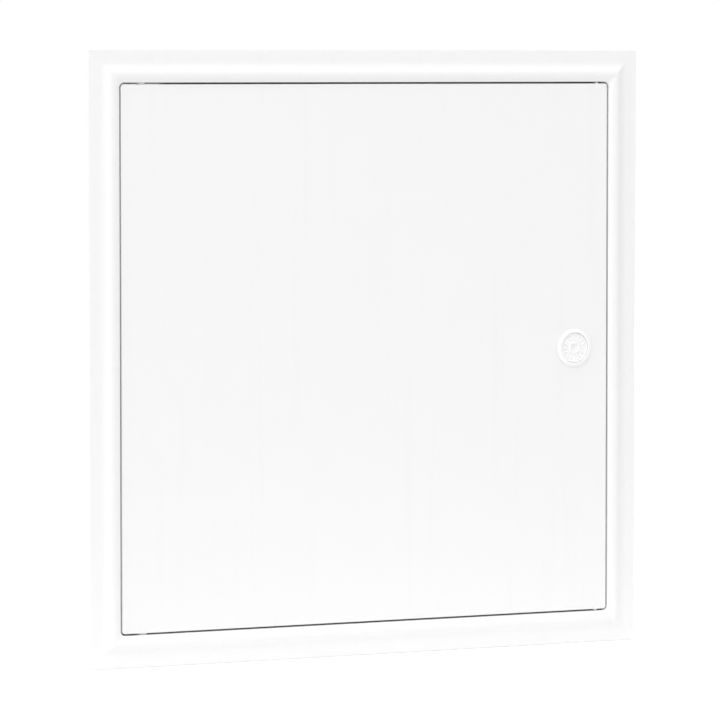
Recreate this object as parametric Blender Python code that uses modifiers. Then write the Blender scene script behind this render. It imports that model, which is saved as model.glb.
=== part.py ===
"""Hinged ceiling access panel: a moulded frame with its architrave, a tray door and a quarter-turn lock.

Metres, +Z up. The panel stands as it is seen from the room: its face looks along -Y, the ceiling void is
on +Y, and the ceiling plane is y = 0. The origin is the middle of the opening on that plane. A height h
off the ceiling is y = -h. Names that end in _y are world positions, positive into the void.
"""

import math

import bmesh
import bpy
from mathutils import Matrix, Vector

for item in list(bpy.data.objects):
    bpy.data.objects.remove(item)

# Architrave, as the room sees it
PANEL = 0.612            # outer edge to outer edge
BORDER = 0.0325          # outer edge to the gap round the door
BAND_W = 0.012           # flat band along the outer edge
BAND_H = 0.003           # band off the ceiling
COVE_W = 0.008           # hollow stretch of the rise, from the band inwards
CREST_IN = 0.0245        # crest, in from the outer edge
CREST_H = 0.007          # crest off the ceiling
FACE_H = 0.004           # door face and edge of the aperture off the ceiling
EDGE_R = 0.0006          # broken edges of the mouldings
APERTURE_R = 0.005       # corners of the aperture

# Frame behind the ceiling plane
UPSTAND = 0.066          # depth of the walls
UPSTAND_T = 0.004        # walls of the upstand
WALL = 0.003             # wall of the architrave and of the door
BEAD_L = 0.004           # stiffening bead along the back edge
BEAD_H = 0.002
RIB_T = 0.0015           # ribs in the hollow of the architrave
RIB_PITCH = 0.050
RIB_SHORT = 0.0005       # ribs stop short of the ceiling
LEDGE_W = 0.010          # stop ledge that the door closes on
LEDGE_T = 0.003
SEAL_T = 0.003           # closed-cell strip on the ledge
SEAL_IN = 0.0005         # strip, back from the free edge of the ledge
GUSSET_T = 0.002         # gussets behind the ledge
GUSSET_L = 0.014
GUSSET_PITCH = 0.085
FIX_IN = 0.1235          # fixing holes, in from the corners of the aperture
FIX_R = 0.0025
FIX_HEAD_R = 0.005       # countersink
FIX_PAD_WALL = 0.004     # pad round the countersink
FIX_PAD_T = 0.0015

# Door
GAP = 0.0018             # running gap all round
DOOR_DEPTH = 0.022       # face to the back edge of the flange
BRACE_T = 0.0018         # gussets inside the tray
BRACE_W = 0.008
BRACE_L = 0.014
BRACE_PITCH = 0.060
CENTRING_IN = 0.0112     # centring rib, in from the lock-side edge
CENTRING_W = 0.0025
CENTRING_L = 0.014
CENTRING_GAP = 0.0005    # rib to the aperture
SLAB_T = 0.025           # insulation
LINER_CLEAR = 0.0022     # rim of the liner to the gussets and bearing blocks
LINER_T = 0.0012
LINER_LIP = 0.010        # rim that laps the insulation
POST_IN = 0.042          # screw posts, in from the edge of the insulation
POST_R = 0.004
POST_DRAFT = 0.0005
FIELD_IN = 0.020         # field pressed into the liner, in from the posts
FIELD_H = 0.0015
LINER_SCREW_R = 0.0015
LINER_SCREW_L = 0.012
LINER_HEAD_R = 0.0035
LINER_HEAD_H = 0.002

# Pivots
PIVOT_IN = 0.0235        # axis, in from the hinge-side edge of the door
PIVOT_BACK = 0.007       # axis behind the door face
PIN_R = 0.0025
PIN_HEAD_R = 0.0045
PIN_HEAD_T = 0.0012
PIN_PAD_WALL = 0.0017    # pad round the recess of the pin's head
PIN_PAD_T = 0.002
BUSH_T = 0.0014
BUSH_L = 0.009
COLLAR_W = 0.0015        # collar of the bush beyond its barrel
BLOCK_WALL = 0.0027      # bearing block round the bush
BLOCK_L = 0.008

# Lock
LOCK_IN = 0.038          # axis, in from the lock-side edge of the door
CUP_R = 0.017            # threaded cup behind the flange
CUP_T = 0.0016
CUP_OUT = 0.0014         # cup beyond the nut
BEZEL_LAP = 0.0028       # flange on the door face, beyond the cup
BEZEL_H = 0.0009         # outer edge of the flange off the face
RIM_W = 0.0013           # crest of the raised rim, out from the bore of the cup
RIM_H = 0.0022           # crest off the face
FLOOR_IN = 0.0031        # cup floor behind the door face
FLOOR_T = 0.0025
HUB_T = 0.003            # hub round the spindle
KEY_W = 0.003            # key on the cup that stops it turning in the door
KEY_H = 0.0012
DIAL_DOWN = 0.0008       # dial below the crest of the rim
DIAL_SINK = 0.0008       # sunk ring in the dial
DIAL_RIM = 0.0011
GRIPS = 20               # radial ribs in the sunk ring
GRIP_W = 0.0009
SOCKET = 0.008           # square key
SOCKET_L = 0.0085
HEAD_WALL = 0.0005       # raised middle of the dial round the socket's corners
SPINDLE_WALL = 0.00135   # spindle round the corners of the socket and of its square end
RING_R = 0.00075         # section of the friction ring
RING_IN = 0.016          # friction ring behind the door face
BOSS_LAP = 0.006         # boss on the back of the door, beyond the cup
BOSS_T = 0.003
BOSS_FIN = 0.0035        # fins round the boss
BOSS_FINS = 8
WASHER_T = 0.001
NUT_T = 0.006
NUT_NOTCHES = 8
NUT_NOTCH_R = 0.003
SQUARE = 0.008           # square end of the spindle
CAM_T = 0.0025
CAM_EYE_WALL = 0.0039    # round the corners of the cam's square hole
CAM_TIP_R = 0.007
CAM_SHORT = 0.0038       # end of the cam to the upstand when locked
STOP_W = 0.0022          # peg on the hub that stops the cam a quarter turn apart
STOP_T = 0.002
CAM_SCREW_R = 0.002
CAM_SCREW_L = 0.012
CAM_HEAD_R = 0.0045
CAM_HEAD_H = 0.0025
CAM_WASHER_LAP = 0.0009  # washer beyond the corners of the cam's square hole
CAM_WASHER_T = 0.001
STRIKE_L = 0.026         # ramped strike behind the ledge
STRIKE_H = 0.0013        # least height of the strike
STRIKE_GAP = 0.0005      # strike to cam

# Clearances
SEAT = 0.0003            # between pieces that seat on or fit round each other
RUN = 0.0001             # radial, of a shaft turning in its bore
PASS = 0.0012            # round posts and bosses that go through the insulation
TIP_ROOM = 0.001         # beyond the tip of a screw

# Fineness of the mesh
ROUND = 38               # sides of the lock's round pieces
SMALL = 20               # sides of pins and bushes
TINY = 12                # sides of the small screws and holes
RING_SIDES = 8           # sides of the friction ring's section
ARC_STEPS = 6            # segments in each arc of a moulding
ARC_PROFILE = 0.5        # bevel profile that makes a circular arc
MERGE = 0.00001          # a Screw modifier's seam
SHARP = math.radians(35)

# Positions that follow
panel_half = PANEL / 2
aperture = panel_half - BORDER
wall_half = aperture + UPSTAND_T
door_half = aperture - GAP
door_in = door_half - WALL
door_r = APERTURE_R - GAP
face_y = -FACE_H
skin_y = face_y + WALL
flange_y = face_y + DOOR_DEPTH
seal_y = flange_y + SEAT
ledge_y = seal_y + SEAL_T + SEAT
ledge_back_y = ledge_y + LEDGE_T
ledge_in = aperture - LEDGE_W

slab_y = skin_y + SEAT
post_y = slab_y + SLAB_T
liner_y = post_y + SEAT
liner_half = door_in - max(BRACE_W, BLOCK_L) - LINER_CLEAR
slab_half = liner_half - LINER_T - SEAT
post_spread = slab_half - POST_IN
field_half = post_spread - FIELD_IN
posts = [(x * post_spread, z * post_spread) for x in (-1, 1) for z in (-1, -1 / 3, 1 / 3, 1)]
posts += [(0, -post_spread), (0, post_spread)]

bush_r = PIN_R + RUN + BUSH_T
collar_r = bush_r + COLLAR_W
block_half = bush_r + SEAT + BLOCK_WALL
block_end = door_in - BLOCK_L
pin_pad_r = PIN_HEAD_R + SEAT + PIN_PAD_WALL
pin_out = wall_half + PIN_PAD_T
pivot_x = PIVOT_IN - door_half
pivot_y = face_y + PIVOT_BACK
heel = max(
    math.hypot(PIVOT_IN, DOOR_DEPTH - PIVOT_BACK),
    math.hypot(liner_half + pivot_x, liner_y + LINER_T - pivot_y),
)
ledge_x = pivot_x + heel + GAP
fix_z = aperture - FIX_IN
fix_y = (ledge_back_y + GUSSET_L + UPSTAND - BEAD_L) / 2
fix_pad_r = FIX_HEAD_R + FIX_PAD_WALL

lock_x = door_half - LOCK_IN
cup_in = CUP_R - CUP_T
lock_hole_r = CUP_R + SEAT
bezel_r = CUP_R + BEZEL_LAP
rim_r = cup_in + RIM_W
boss_r = CUP_R + BOSS_LAP
floor_y = face_y + FLOOR_IN
boss_y = skin_y + BOSS_T
nut_y = boss_y + WASHER_T + 2 * SEAT
cup_y = nut_y + NUT_T + CUP_OUT
dial_r = cup_in - SEAT
dial_y = face_y - RIM_H + DIAL_DOWN
head_r = SOCKET / math.sqrt(2) + HEAD_WALL
spindle_r = max(SOCKET, SQUARE) / math.sqrt(2) + SPINDLE_WALL
hub_r = spindle_r + HUB_T
hub_y = max(liner_y + LINER_T + SEAT, ledge_back_y + STRIKE_H + STRIKE_GAP - SEAT)
ring_y = face_y + RING_IN
groove_r = spindle_r + RUN - 2 * RING_R - 2 * SEAT
cam_y = hub_y + SEAT
cam_back_y = cam_y + CAM_T
cam_reach = LOCK_IN + GAP - CAM_SHORT
cam_hole = SQUARE / 2 + SEAT
cam_eye_r = cam_hole * math.sqrt(2) + CAM_EYE_WALL
stop_in = hub_r - STOP_T
cam_washer_r = cam_hole * math.sqrt(2) + CAM_WASHER_LAP
cam_screw_y = cam_back_y + CAM_WASHER_T + 2 * SEAT
STOP_AT = math.radians(225)
RIGHT, BELOW, LEFT, ABOVE = (Matrix.Rotation(math.pi / 2 * turn, 4, "Y") for turn in range(4))


def collection(name):
    """A new collection in the scene."""
    made = bpy.data.collections.new(name)
    bpy.context.scene.collection.children.link(made)
    return made


parts = collection("ceiling_access_panel")
cutters = collection("cutters")


def material(name, colour, roughness, metallic=0.0):
    """A Principled material."""
    made = bpy.data.materials.new(name)
    made.use_nodes = True
    shader = made.node_tree.nodes["Principled BSDF"]
    shader.inputs["Base Color"].default_value = (*colour, 1.0)
    shader.inputs["Roughness"].default_value = roughness
    shader.inputs["Metallic"].default_value = metallic
    return made


def add_prism(bm, corners, travel):
    """Adds a closed prism: a flat face through the corners, extruded by travel."""
    face = bm.faces.new([bm.verts.new(corner) for corner in corners])
    made = bmesh.ops.extrude_face_region(bm, geom=[face])["geom"]
    moved = [item for item in made if isinstance(item, bmesh.types.BMVert)]
    bmesh.ops.translate(bm, verts=moved, vec=travel)


def add_plate(bm, outline, front, back):
    """Adds a plate: an outline of (x, z) points between two world y."""
    add_prism(bm, [(x, front, z) for x, z in outline], Vector((0, back - front, 0)))


def add_box(bm, low, high, turn=Matrix()):
    """Adds a box between two corners, turned about the origin."""
    low, high = Vector(low), Vector(high)
    place = Matrix.Translation((low + high) / 2) @ Matrix.Diagonal((*(high - low), 1.0))
    bmesh.ops.create_cube(bm, size=1.0, matrix=turn @ place)


def add_cylinder(bm, radius, start, end, sides=SMALL, end_radius=None):
    """Adds a closed cylinder, or a cone, from start to end."""
    start, end = Vector(start), Vector(end)
    turn = (end - start).to_track_quat("Z", "Y").to_matrix().to_4x4()
    last = radius if end_radius is None else end_radius
    bmesh.ops.create_cone(
        bm, cap_ends=True, segments=sides, radius1=radius, radius2=last,
        depth=(end - start).length, matrix=Matrix.Translation((start + end) / 2) @ turn,
    )


def break_front_edges(bm, front, width):
    """Rounds the edges that lie in the plane y = front."""
    edges = [e for e in bm.edges if all(abs(v.co.y - front) < MERGE for v in e.verts)]
    bmesh.ops.bevel(bm, geom=edges, offset=width, segments=2, profile=ARC_PROFILE, affect="EDGES")


def solid(name, bm, group=parts):
    """Turns bm into an object, with its faces outwards."""
    bmesh.ops.recalc_face_normals(bm, faces=bm.faces)
    mesh = bpy.data.meshes.new(name)
    bm.to_mesh(mesh)
    bm.free()
    made = bpy.data.objects.new(name, mesh)
    group.objects.link(made)
    return made


def apply_boolean(part, name, operand, operation):
    """Adds a Boolean step whose operand is kept as a wire-drawn guide."""
    tool = solid(name, operand, cutters) if isinstance(operand, bmesh.types.BMesh) else operand
    tool.hide_render = True
    tool.display_type = "WIRE"
    step = part.modifiers.new(name, "BOOLEAN")
    step.operation = operation
    step.solver = "EXACT"
    step.object = tool


def cut(part, name, operand):
    """Cuts the operand out of the part."""
    apply_boolean(part, name, operand, "DIFFERENCE")


def join(part, name, operand):
    """Joins the operand onto the part."""
    apply_boolean(part, name, operand, "UNION")


def screwed(name, points, steps, closed, group):
    """A profile with a Screw modifier that turns it right round local Z."""
    mesh = bpy.data.meshes.new(name)
    edges = [(i, i + 1) for i in range(len(points) - 1)]
    if closed:
        edges.append((len(points) - 1, 0))
    mesh.from_pydata(points, edges, [])
    made = bpy.data.objects.new(name, mesh)
    group.objects.link(made)
    turn = made.modifiers.new("turn", "SCREW")
    turn.steps = turn.render_steps = steps
    turn.use_merge_vertices = True
    turn.merge_threshold = MERGE
    return made


def square_turned(name, profile, group=parts, closed=True):
    """A square piece with mitred corners: a profile of (half size, y) points turned in four steps.

    The profile runs down its outer side, from the room to the void.
    """
    made = screwed(name, [(half, half, -y) for half, y in profile], 4, closed, group)
    made.rotation_euler = (math.pi / 2, 0, 0)
    return made


def turned(name, profile, x, z=0, group=parts, steps=ROUND):
    """A turned piece of (radius, y) points, from the room to the void, about the line through (x, z).

    A profile that starts off the axis makes a ring.
    """
    made = screwed(name, [(r, 0, -y) for r, y in profile], steps, profile[0][0] > 0, group)
    made.location = (x, 0, z)
    made.rotation_euler = (math.pi / 2, 0, 0)
    return made


def pivot_turned(name, profile, up):
    """A turned piece of (radius, distance from the middle) points on the pivot axis, above or below."""
    made = screwed(name, [(r, 0, z) for r, z in profile], SMALL, profile[0][0] > 0, parts)
    made.location = (pivot_x, pivot_y, 0)
    made.rotation_euler = (0 if up > 0 else math.pi, 0, 0)
    return made


def add_copy(bm, pattern, place):
    """Adds the pattern's finished mesh to bm at the given place, and removes the pattern."""
    bpy.context.view_layer.update()
    mesh = bpy.data.meshes.new_from_object(pattern.evaluated_get(bpy.context.evaluated_depsgraph_get()))
    mesh.transform(place)
    bm.from_mesh(mesh)
    bpy.data.meshes.remove(mesh)
    bpy.data.objects.remove(pattern)


def arc(middle, radius, start, end, steps):
    """(x, z) points of an arc between two angles."""
    angles = [start + (end - start) * i / steps for i in range(steps + 1)]
    return [(middle[0] + radius * math.cos(a), middle[1] + radius * math.sin(a)) for a in angles]


def rounded_outline(half, radius):
    """(x, z) points of a square with round corners."""
    points = []
    inner, quarter = half - radius, math.pi / 2
    for corner, (x, z) in enumerate(((1, 1), (-1, 1), (-1, -1), (1, -1))):
        points += arc((x * inner, z * inner), radius, quarter * corner, quarter * (corner + 1), ARC_STEPS - 1)
    return points


def ledge_outline(outer, inner, start):
    """(x, z) points of a U that is open towards the pivots."""
    return [
        (start, outer), (outer, outer), (outer, -outer), (start, -outer),
        (start, -inner), (inner, -inner), (inner, inner), (start, inner),
    ]


def spots(span, pitch):
    """Places spread evenly from -span to span, about a pitch apart."""
    count = max(2, round(2 * span / pitch))
    return [-span + 2 * span * (i + 0.5) / count for i in range(count)]


def rise(start, end, first):
    """Two tangent arcs from start to end, level at both ends; the first is `first` wide."""
    width, lift = end[0] - start[0], end[1] - start[1]
    slope = 2 * math.atan2(lift, width)
    r1, r2 = first / math.sin(slope), (width - first) / math.sin(slope)
    angles = [slope * i / ARC_STEPS for i in range(ARC_STEPS + 1)]
    hollow = [(start[0] + r1 * math.sin(a), start[1] + r1 * (1 - math.cos(a))) for a in angles]
    round_top = [(end[0] - r2 * math.sin(a), end[1] - r2 * (1 - math.cos(a))) for a in angles]
    return hollow + round_top[-2::-1]


def fall(start, end, overrun):
    """An arc that leaves start level, passes through end and runs on by overrun."""
    width, drop = end[0] - start[0], start[1] - end[1]
    radius = width / math.sin(2 * math.atan2(drop, width))
    last = math.asin(min(0.99, (width + overrun) / radius))
    angles = [last * i / ARC_STEPS for i in range(1, ARC_STEPS + 1)]
    return [(start[0] + radius * math.sin(a), start[1] - radius * (1 - math.cos(a))) for a in angles]


def hollow_back(sunk=0.0):
    """Back of the moulding as (in from the edge, height) points; sunk moves it into the wall."""
    depth = CREST_H - WALL + sunk
    return [
        (BAND_W + WALL / 2, sunk),
        (CREST_IN - WALL, depth),
        (BORDER - UPSTAND_T - WALL / 2, depth),
        (BORDER - UPSTAND_T + sunk, depth - WALL / 4),
    ]


def frame_moulding():
    """The frame in one moulding: architrave, upstand, stop ledge, ribs, pads and strike."""
    front = [(0, 0), (0, BAND_H - EDGE_R), (EDGE_R, BAND_H)]
    front += rise((BAND_W, BAND_H), (CREST_IN, CREST_H), COVE_W)
    front += fall((CREST_IN, CREST_H), (BORDER, FACE_H), max(BEAD_H, APERTURE_R / 2))
    back = [(front[-1][0], -UPSTAND), (BORDER - UPSTAND_T, -UPSTAND)] + hollow_back()[::-1]
    section = [(panel_half - u, -h) for u, h in reversed(front + back)]
    frame = square_turned("frame_moulding", section)

    bm = bmesh.new()
    add_plate(bm, rounded_outline(aperture, APERTURE_R), -3 * CREST_H, UPSTAND - BEAD_L)
    cut(frame, "aperture", bm)
    bm = bmesh.new()
    add_plate(bm, rounded_outline(aperture - BEAD_H, APERTURE_R), UPSTAND / 2, 2 * UPSTAND)
    cut(frame, "bead_bore", bm)

    join(frame, "back_ribs", back_ribs())
    bm = bmesh.new()
    add_plate(bm, ledge_outline(aperture + UPSTAND_T / 2, ledge_in, ledge_x), ledge_y, ledge_back_y)
    join(frame, "stop_ledge", bm)
    join(frame, "ledge_gussets", ledge_gussets())
    join(frame, "strike", strike())
    join(frame, "frame_pads", frame_pads())
    cut(frame, "frame_holes", frame_holes())
    return frame


def back_ribs():
    """Ribs across the hollow behind the moulding, on all four sides."""
    bm = bmesh.new()
    outline = hollow_back(WALL / 4)
    outline = [(outline[0][0], RIB_SHORT)] + outline + [(outline[-1][0], RIB_SHORT)]
    for side in (RIGHT, BELOW, LEFT, ABOVE):
        for z in spots(aperture, RIB_PITCH):
            corners = [side @ Vector((panel_half - u, -h, z)) for u, h in outline]
            add_prism(bm, corners, side @ Vector((0, 0, RIB_T)))
    return bm


def ledge_gussets():
    """Gussets behind the ledge, clear of the cam's sweep and of the door's heel."""
    bm = bmesh.new()
    outer, inner = aperture + UPSTAND_T / 2, aperture - LEDGE_W * 0.85
    sunk_y, end_y = ledge_back_y - LEDGE_T / 2, ledge_back_y + GUSSET_L
    outline = [
        (outer, sunk_y), (outer, end_y), (aperture - GUSSET_T / 2, end_y),
        (inner, ledge_back_y), (inner, sunk_y),
    ]
    for side in (RIGHT, BELOW, ABOVE):
        for z in spots(ledge_in, GUSSET_PITCH):
            place = side @ Vector((aperture, 0, z))
            swept = side == RIGHT and abs(z) < cam_reach + cam_eye_r
            if not swept and place.x > ledge_x + GUSSET_T:
                corners = [side @ Vector((x, y, z)) for x, y in outline]
                add_prism(bm, corners, side @ Vector((0, 0, GUSSET_T)))
    return bm


def strike():
    """A pad behind the ledge with a ramp at its upper end, where the cam comes from."""
    bm = bmesh.new()
    sunk_y, top_y = ledge_back_y - LEDGE_T / 2, cam_y - STRIKE_GAP
    half, ramp = STRIKE_L / 2, STRIKE_L / 2 + CAM_TIP_R
    low_y = ledge_back_y + (top_y - ledge_back_y) / 4
    outline = [(-half, sunk_y), (-half, top_y), (half, top_y), (ramp, low_y), (ramp, sunk_y)]
    add_prism(bm, [(ledge_in, y, z) for z, y in outline], Vector((LEDGE_W + UPSTAND_T / 2, 0, 0)))
    return bm


def fixings():
    """Two fixing places on each wall, as a side and a place along it."""
    return [(side, z) for side in (RIGHT, BELOW, LEFT, ABOVE) for z in (-fix_z, fix_z)]


def frame_pads():
    """Pads that thicken the walls: round the pins outside, round the fixing holes inside."""
    bm = bmesh.new()
    middle = aperture + UPSTAND_T / 2
    for up in (1, -1):
        start, end = (pivot_x, pivot_y, up * middle), (pivot_x, pivot_y, up * pin_out)
        add_cylinder(bm, pin_pad_r, start, end)
    for side, z in fixings():
        start, end = Vector((middle, fix_y, z)), Vector((aperture - FIX_PAD_T, fix_y, z))
        add_cylinder(bm, fix_pad_r, side @ start, side @ end)
    return bm


def frame_holes():
    """Pin holes with a recess for each head, and countersunk fixing holes."""
    bm = bmesh.new()
    recess_r, recess_end = PIN_HEAD_R + SEAT, pin_out - PIN_HEAD_T - SEAT
    profile = [
        (0, pin_out + WALL), (recess_r, pin_out + WALL), (recess_r, recess_end),
        (PIN_R + SEAT, recess_end), (PIN_R + SEAT, door_half), (0, door_half),
    ]
    for up in (1, -1):
        hole = screwed("pin_hole", [(r, 0, z) for r, z in profile], SMALL, False, cutters)
        flip = Matrix.Diagonal((1, up, up, 1))
        add_copy(bm, hole, Matrix.Translation((pivot_x, pivot_y, 0)) @ flip)
    inside = aperture - FIX_PAD_T
    sink_end = inside + FIX_HEAD_R - FIX_R
    profile = [
        (0, wall_half + WALL), (FIX_R, wall_half + WALL), (FIX_R, sink_end),
        (FIX_HEAD_R, inside), (FIX_HEAD_R, inside - WALL), (0, inside - WALL),
    ]
    for side, z in fixings():
        hole = screwed("fixing_hole", [(r, 0, z) for r, z in profile], TINY, False, cutters)
        flip = Matrix.Rotation(math.pi / 2, 4, "Y")
        add_copy(bm, hole, side @ Matrix.Translation((0, fix_y, z)) @ flip)
    return bm


def door_skin():
    """The door's moulded tray: face, flange, gussets, posts, bearing blocks and lock boss."""
    bm = bmesh.new()
    add_plate(bm, rounded_outline(door_half, door_r), face_y, flange_y)
    break_front_edges(bm, face_y, EDGE_R)
    door = solid("door_skin", bm)

    bm = bmesh.new()
    add_plate(bm, rounded_outline(door_in, max(door_r - WALL, EDGE_R)), skin_y, flange_y + WALL)
    cut(door, "tray_pocket", bm)

    join(door, "tray_braces", tray_braces())
    join(door, "bearing_blocks", bearing_blocks())
    join(door, "centring_ribs", centring_ribs())

    bm = bmesh.new()
    for x, z in posts:
        add_cylinder(bm, POST_R + POST_DRAFT, (x, skin_y - WALL / 2, z), (x, post_y, z), TINY, POST_R)
    join(door, "liner_posts", bm)
    join(door, "lock_boss", lock_boss())

    bm = bmesh.new()
    screw_end = post_y - LINER_SCREW_L + LINER_T - SEAT
    for x, z in posts:
        add_cylinder(bm, LINER_SCREW_R + SEAT, (x, screw_end, z), (x, post_y + WALL, z), TINY)
    for up in (1, -1):
        start, end = (pivot_x, pivot_y, up * (door_half + WALL)), (pivot_x, pivot_y, up * (block_end - WALL))
        add_cylinder(bm, bush_r + SEAT, start, end)
    add_plate(bm, keyed_outline(), face_y - WALL, boss_y + WALL)
    cut(door, "door_holes", bm)
    return door


def keyed_outline():
    """(x, z) points of the lock's hole: a circle with a notch below for the key."""
    half, low = KEY_W / 2 + SEAT, -lock_hole_r - KEY_H
    lean = math.asin(half / lock_hole_r)
    circle = arc((lock_x, 0), lock_hole_r, lean - math.pi / 2, 1.5 * math.pi - lean, ROUND)
    return circle + [(lock_x - half, low), (lock_x + half, low)]


def tray_braces():
    """Triangular gussets between the face and the flange, clear of the bearing blocks and the lock."""
    bm = bmesh.new()
    sunk_y, end_y = skin_y - WALL / 2, skin_y + BRACE_L
    outline = [
        (door_in + WALL / 2, sunk_y), (door_in + WALL / 2, end_y), (door_in - BRACE_T / 2, end_y),
        (door_in - BRACE_W, skin_y), (door_in - BRACE_W, sunk_y),
    ]
    for side in (RIGHT, BELOW, LEFT, ABOVE):
        for z in spots(door_in - BRACE_W, BRACE_PITCH):
            place = side @ Vector((door_in, 0, z))
            near_pivot = side in (ABOVE, BELOW) and abs(place.x - pivot_x) < block_half + BRACE_T
            near_lock = side == RIGHT and abs(z) < boss_r
            if not near_pivot and not near_lock:
                corners = [side @ Vector((x, y, z)) for x, y in outline]
                add_prism(bm, corners, side @ Vector((0, 0, BRACE_T)))
    return bm


def bearing_blocks():
    """Blocks behind the upper and lower flange that hold the bushes."""
    bm = bmesh.new()
    for up in (1, -1):
        ends = sorted((up * (door_half - WALL / 2), up * block_end))
        low = (pivot_x - block_half, skin_y - WALL / 2, ends[0])
        add_box(bm, low, (pivot_x + block_half, pivot_y + block_half, ends[1]))
    return bm


def centring_ribs():
    """Ribs on the upper and lower flange that centre the door in the frame as it shuts."""
    bm = bmesh.new()
    front, top, sunk = face_y + 2 * EDGE_R, aperture - CENTRING_GAP, door_half - WALL / 2
    end, ramp = front + CENTRING_L, top - door_half
    outline = [(front, sunk), (front, top), (end - ramp, top), (end, door_half), (end, sunk)]
    x = door_half - CENTRING_IN - CENTRING_W / 2
    for up in (1, -1):
        add_prism(bm, [(x, y, up * z) for y, z in outline], Vector((CENTRING_W, 0, 0)))
    return bm


def lock_boss():
    """A boss on the back of the face, with fins, that the lock clamps on."""
    sunk_y = skin_y - WALL / 2
    disc = [(0, sunk_y), (boss_r, sunk_y), (boss_r, boss_y), (0, boss_y)]
    boss = turned("boss_ring", disc, lock_x, group=cutters)
    bm = bmesh.new()
    foot, top_y = boss_r + BOSS_FIN, boss_y - EDGE_R
    outline = [
        (boss_r - WALL, sunk_y), (foot, sunk_y), (foot, skin_y + SEAT),
        (boss_r - EDGE_R, top_y), (boss_r - WALL, top_y),
    ]
    for i in range(BOSS_FINS):
        angle = 2 * math.pi * (i + 0.5) / BOSS_FINS
        turn = Matrix.Translation((lock_x, 0, 0)) @ Matrix.Rotation(angle, 4, "Y")
        corners = [turn @ Vector((r, y, -BRACE_T / 2)) for r, y in outline]
        add_prism(bm, corners, turn.to_3x3() @ Vector((0, 0, BRACE_T)))
    join(boss, "boss_fins", bm)
    return boss


def insulation_slab():
    """The slab in the tray, with holes round the posts and the lock."""
    bm = bmesh.new()
    add_plate(bm, rounded_outline(slab_half, WALL), slab_y, post_y)
    slab = solid("insulation_slab", bm)
    bm = bmesh.new()
    radius = POST_R + POST_DRAFT + PASS
    for x, z in posts:
        add_cylinder(bm, radius, (x, slab_y - WALL, z), (x, post_y + WALL, z), TINY)
    radius = boss_r + BOSS_FIN + PASS
    add_cylinder(bm, radius, (lock_x, slab_y - WALL, 0), (lock_x, post_y + WALL, 0), ROUND)
    cut(slab, "slab_holes", bm)
    return slab


def door_liner():
    """A formed sheet over the slab: a raised field, a flat border and a rim that laps the slab."""
    middle, rim = liner_y + LINER_T / 2, liner_half - LINER_T / 2
    profile = [
        (0, middle + FIELD_H), (field_half - FIELD_H, middle + FIELD_H), (field_half, middle),
        (rim, middle), (rim, middle - LINER_LIP),
    ]
    liner = square_turned("door_liner", profile, closed=False)
    wall = liner.modifiers.new("wall", "SOLIDIFY")
    wall.thickness = LINER_T
    wall.offset = 0
    wall.use_even_offset = True
    bm = bmesh.new()
    for x, z in posts:
        add_cylinder(bm, LINER_SCREW_R + SEAT, (x, liner_y - WALL, z), (x, hub_y + WALL, z), TINY)
    add_cylinder(bm, hub_r + SEAT, (lock_x, liner_y - WALL, 0), (lock_x, hub_y + WALL, 0), ROUND)
    cut(liner, "liner_holes", bm)
    return liner


def pan_head(screw_r, head_r, head_h, under_y, length):
    """Profile of a pan-head screw from its tip to the top of its head."""
    top_y, tip_y = under_y + head_h, under_y - length
    return [
        (0, tip_y), (screw_r / 3, tip_y), (screw_r, tip_y + screw_r), (screw_r, under_y),
        (head_r, under_y), (head_r, top_y - head_h / 2), (head_r * 0.75, top_y), (0, top_y),
    ]


def liner_screws():
    """Pan-head screws that hold the liner, one in each post."""
    under_y = liner_y + LINER_T + SEAT
    profile = pan_head(LINER_SCREW_R, LINER_HEAD_R, LINER_HEAD_H, under_y, LINER_SCREW_L)
    return [turned(f"liner_screw_{i + 1}", profile, x, z, steps=TINY) for i, (x, z) in enumerate(posts)]


def hinge_pin(name, up):
    """A headed pin, pushed in from outside the frame."""
    soft = PIN_R / 4
    profile = [
        (0, pin_out), (PIN_HEAD_R - soft, pin_out), (PIN_HEAD_R, pin_out - soft),
        (PIN_HEAD_R, pin_out - PIN_HEAD_T), (PIN_R, pin_out - PIN_HEAD_T),
        (PIN_R, block_end + 2 * soft), (PIN_R - soft, block_end), (0, block_end),
    ]
    return pivot_turned(name, profile, up)


def hinge_bush(name, up):
    """A flanged bush in the door; its collar runs in the gap."""
    bore, top, seat, end = PIN_R + RUN, aperture - SEAT, door_half + SEAT, door_half - BUSH_L
    profile = [(bore, top), (collar_r, top), (collar_r, seat), (bush_r, seat), (bush_r, end), (bore, end)]
    return pivot_turned(name, profile, up)


def door_seal():
    """The closed-cell strip on the front of the ledge."""
    bm = bmesh.new()
    outline = ledge_outline(aperture - APERTURE_R / 2, ledge_in + SEAL_IN, ledge_x + SEAT)
    add_plate(bm, outline, seal_y, seal_y + SEAL_T)
    return solid("door_seal", bm)


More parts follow.
